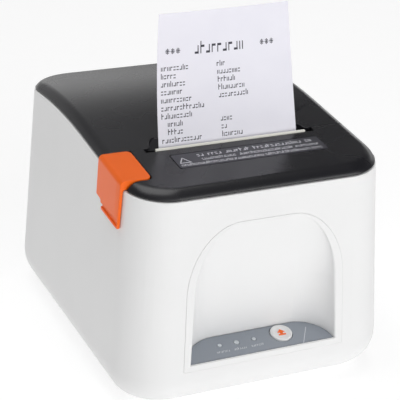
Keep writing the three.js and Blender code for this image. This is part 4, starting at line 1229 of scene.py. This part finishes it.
def make_lights():
    soft_light("key", (0.7, -1.45, 0.5), (0, 0, 0.08), (1.5, 0.7), 9.6)
    soft_light("front", (-0.35, -1.5, 0.5), (0, 0, 0.12), (1.0, 1.0), 3.2)
    soft_light("top", (-0.2, 0.1, 1.6), (0, 0, 0.1), (1.2, 1.2), 9.5)
    soft_light("rear", (1.5, 1.1, 0.45), (0, 0, 0.12), (1.2, 0.4), 2)
    soft_light("lid_sheen", (0.75, 1.65, 0.5), (0, 0, 0.12), (1.6, 0.35), 1.3)


def grey_ramp(tree, value, stops):
    """Grey levels at given positions along a value, the first at 0 and the last at 1."""
    output = add_node(tree, "ValToRGB", "Color", {}, {"Fac": value})
    elements = output.node.color_ramp.elements
    for element, (_, level) in zip((elements[0], elements[1]), (stops[0], stops[-1])):
        element.color = (level, level, level, 1)
    for position, level in stops[1:-1]:
        elements.new(position).color = (level, level, level, 1)
    return output


def make_world():
    """A pale studio for every ray but the camera's: bright low down, dimmer left and dark right."""
    rising = [(0.0, 0.5), (0.08, 0.6), (0.22, 0.68), (0.36, 0.58), (0.5, 0.34), (0.6, 0.28), (0.75, 0.3),
              (1.0, 0.6)]
    sideways = [(0.0, 0.5), (0.2, 0.65), (0.4, 1.0), (0.64, 1.0), (0.73, 0.15), (1.0, 0.15)]
    world = bpy.data.worlds.new("studio")
    bpy.context.scene.world = world
    world.use_nodes = True
    tree = world.node_tree
    direction = add_node(tree, "TexCoord", "Generated", {}, {})
    split = add_node(tree, "SeparateXYZ", "X", {}, {"Vector": direction}).node
    across = add_node(tree, "MapRange", "Result", {"From Min": -1.0}, {"Value": split.outputs["X"]})
    levels = {0: grey_ramp(tree, split.outputs["Z"], rising), 1: grey_ramp(tree, across, sideways)}
    shaded = add_node(tree, "VectorMath", "Vector", {}, levels, operation="MULTIPLY")
    seen = add_node(tree, "LightPath", "Is Camera Ray", {}, {})
    mixed = add_node(tree, "Mix", "Result", {"B": (1, 1, 1, 1)}, {"A": shaded, "Factor": seen},
                     data_type="RGBA")
    background = tree.nodes["Background"].inputs
    tree.links.new(mixed, background["Color"])
    background["Strength"].default_value = 1.0


def make_floor():
    half = 6.0
    corners = [(-half, -half, 0), (half, -half, 0), (half, half, 0), (-half, half, 0)]
    mesh = bpy.data.meshes.new("floor")
    mesh.from_pydata(corners, [], [(0, 1, 2, 3)])
    finish = Finish("floor_paint")
    finish.color(finish.noise(40, 3), (0.50, 0.50, 0.50), (0.52, 0.52, 0.52))
    finish.set("Roughness", 0.9)
    finish.set("Emission Color", (1, 1, 1, 1))
    finish.set("Emission Strength", 0.6)
    mesh.materials.append(MATERIALS["floor_paint"])
    new_object("floor", mesh)


# ---------------- the scene

make_finishes()
shell_piece()
niche_piece()
panel_piece()
button_piece()
inlay_piece()
light_pieces()
bezel_piece()
label_piece()
tear_bar_piece()
lever_piece()
lid_piece()
paper_piece()
roll_piece()
refined_pieces()
rear_pieces()
rocker_sign_pieces()
foot_pieces()
base_screw_pieces()
rating_plate_piece()
print_pieces()
make_camera()
make_lights()
make_world()
make_floor()
bpy.context.scene.view_settings.view_transform = "Standard"
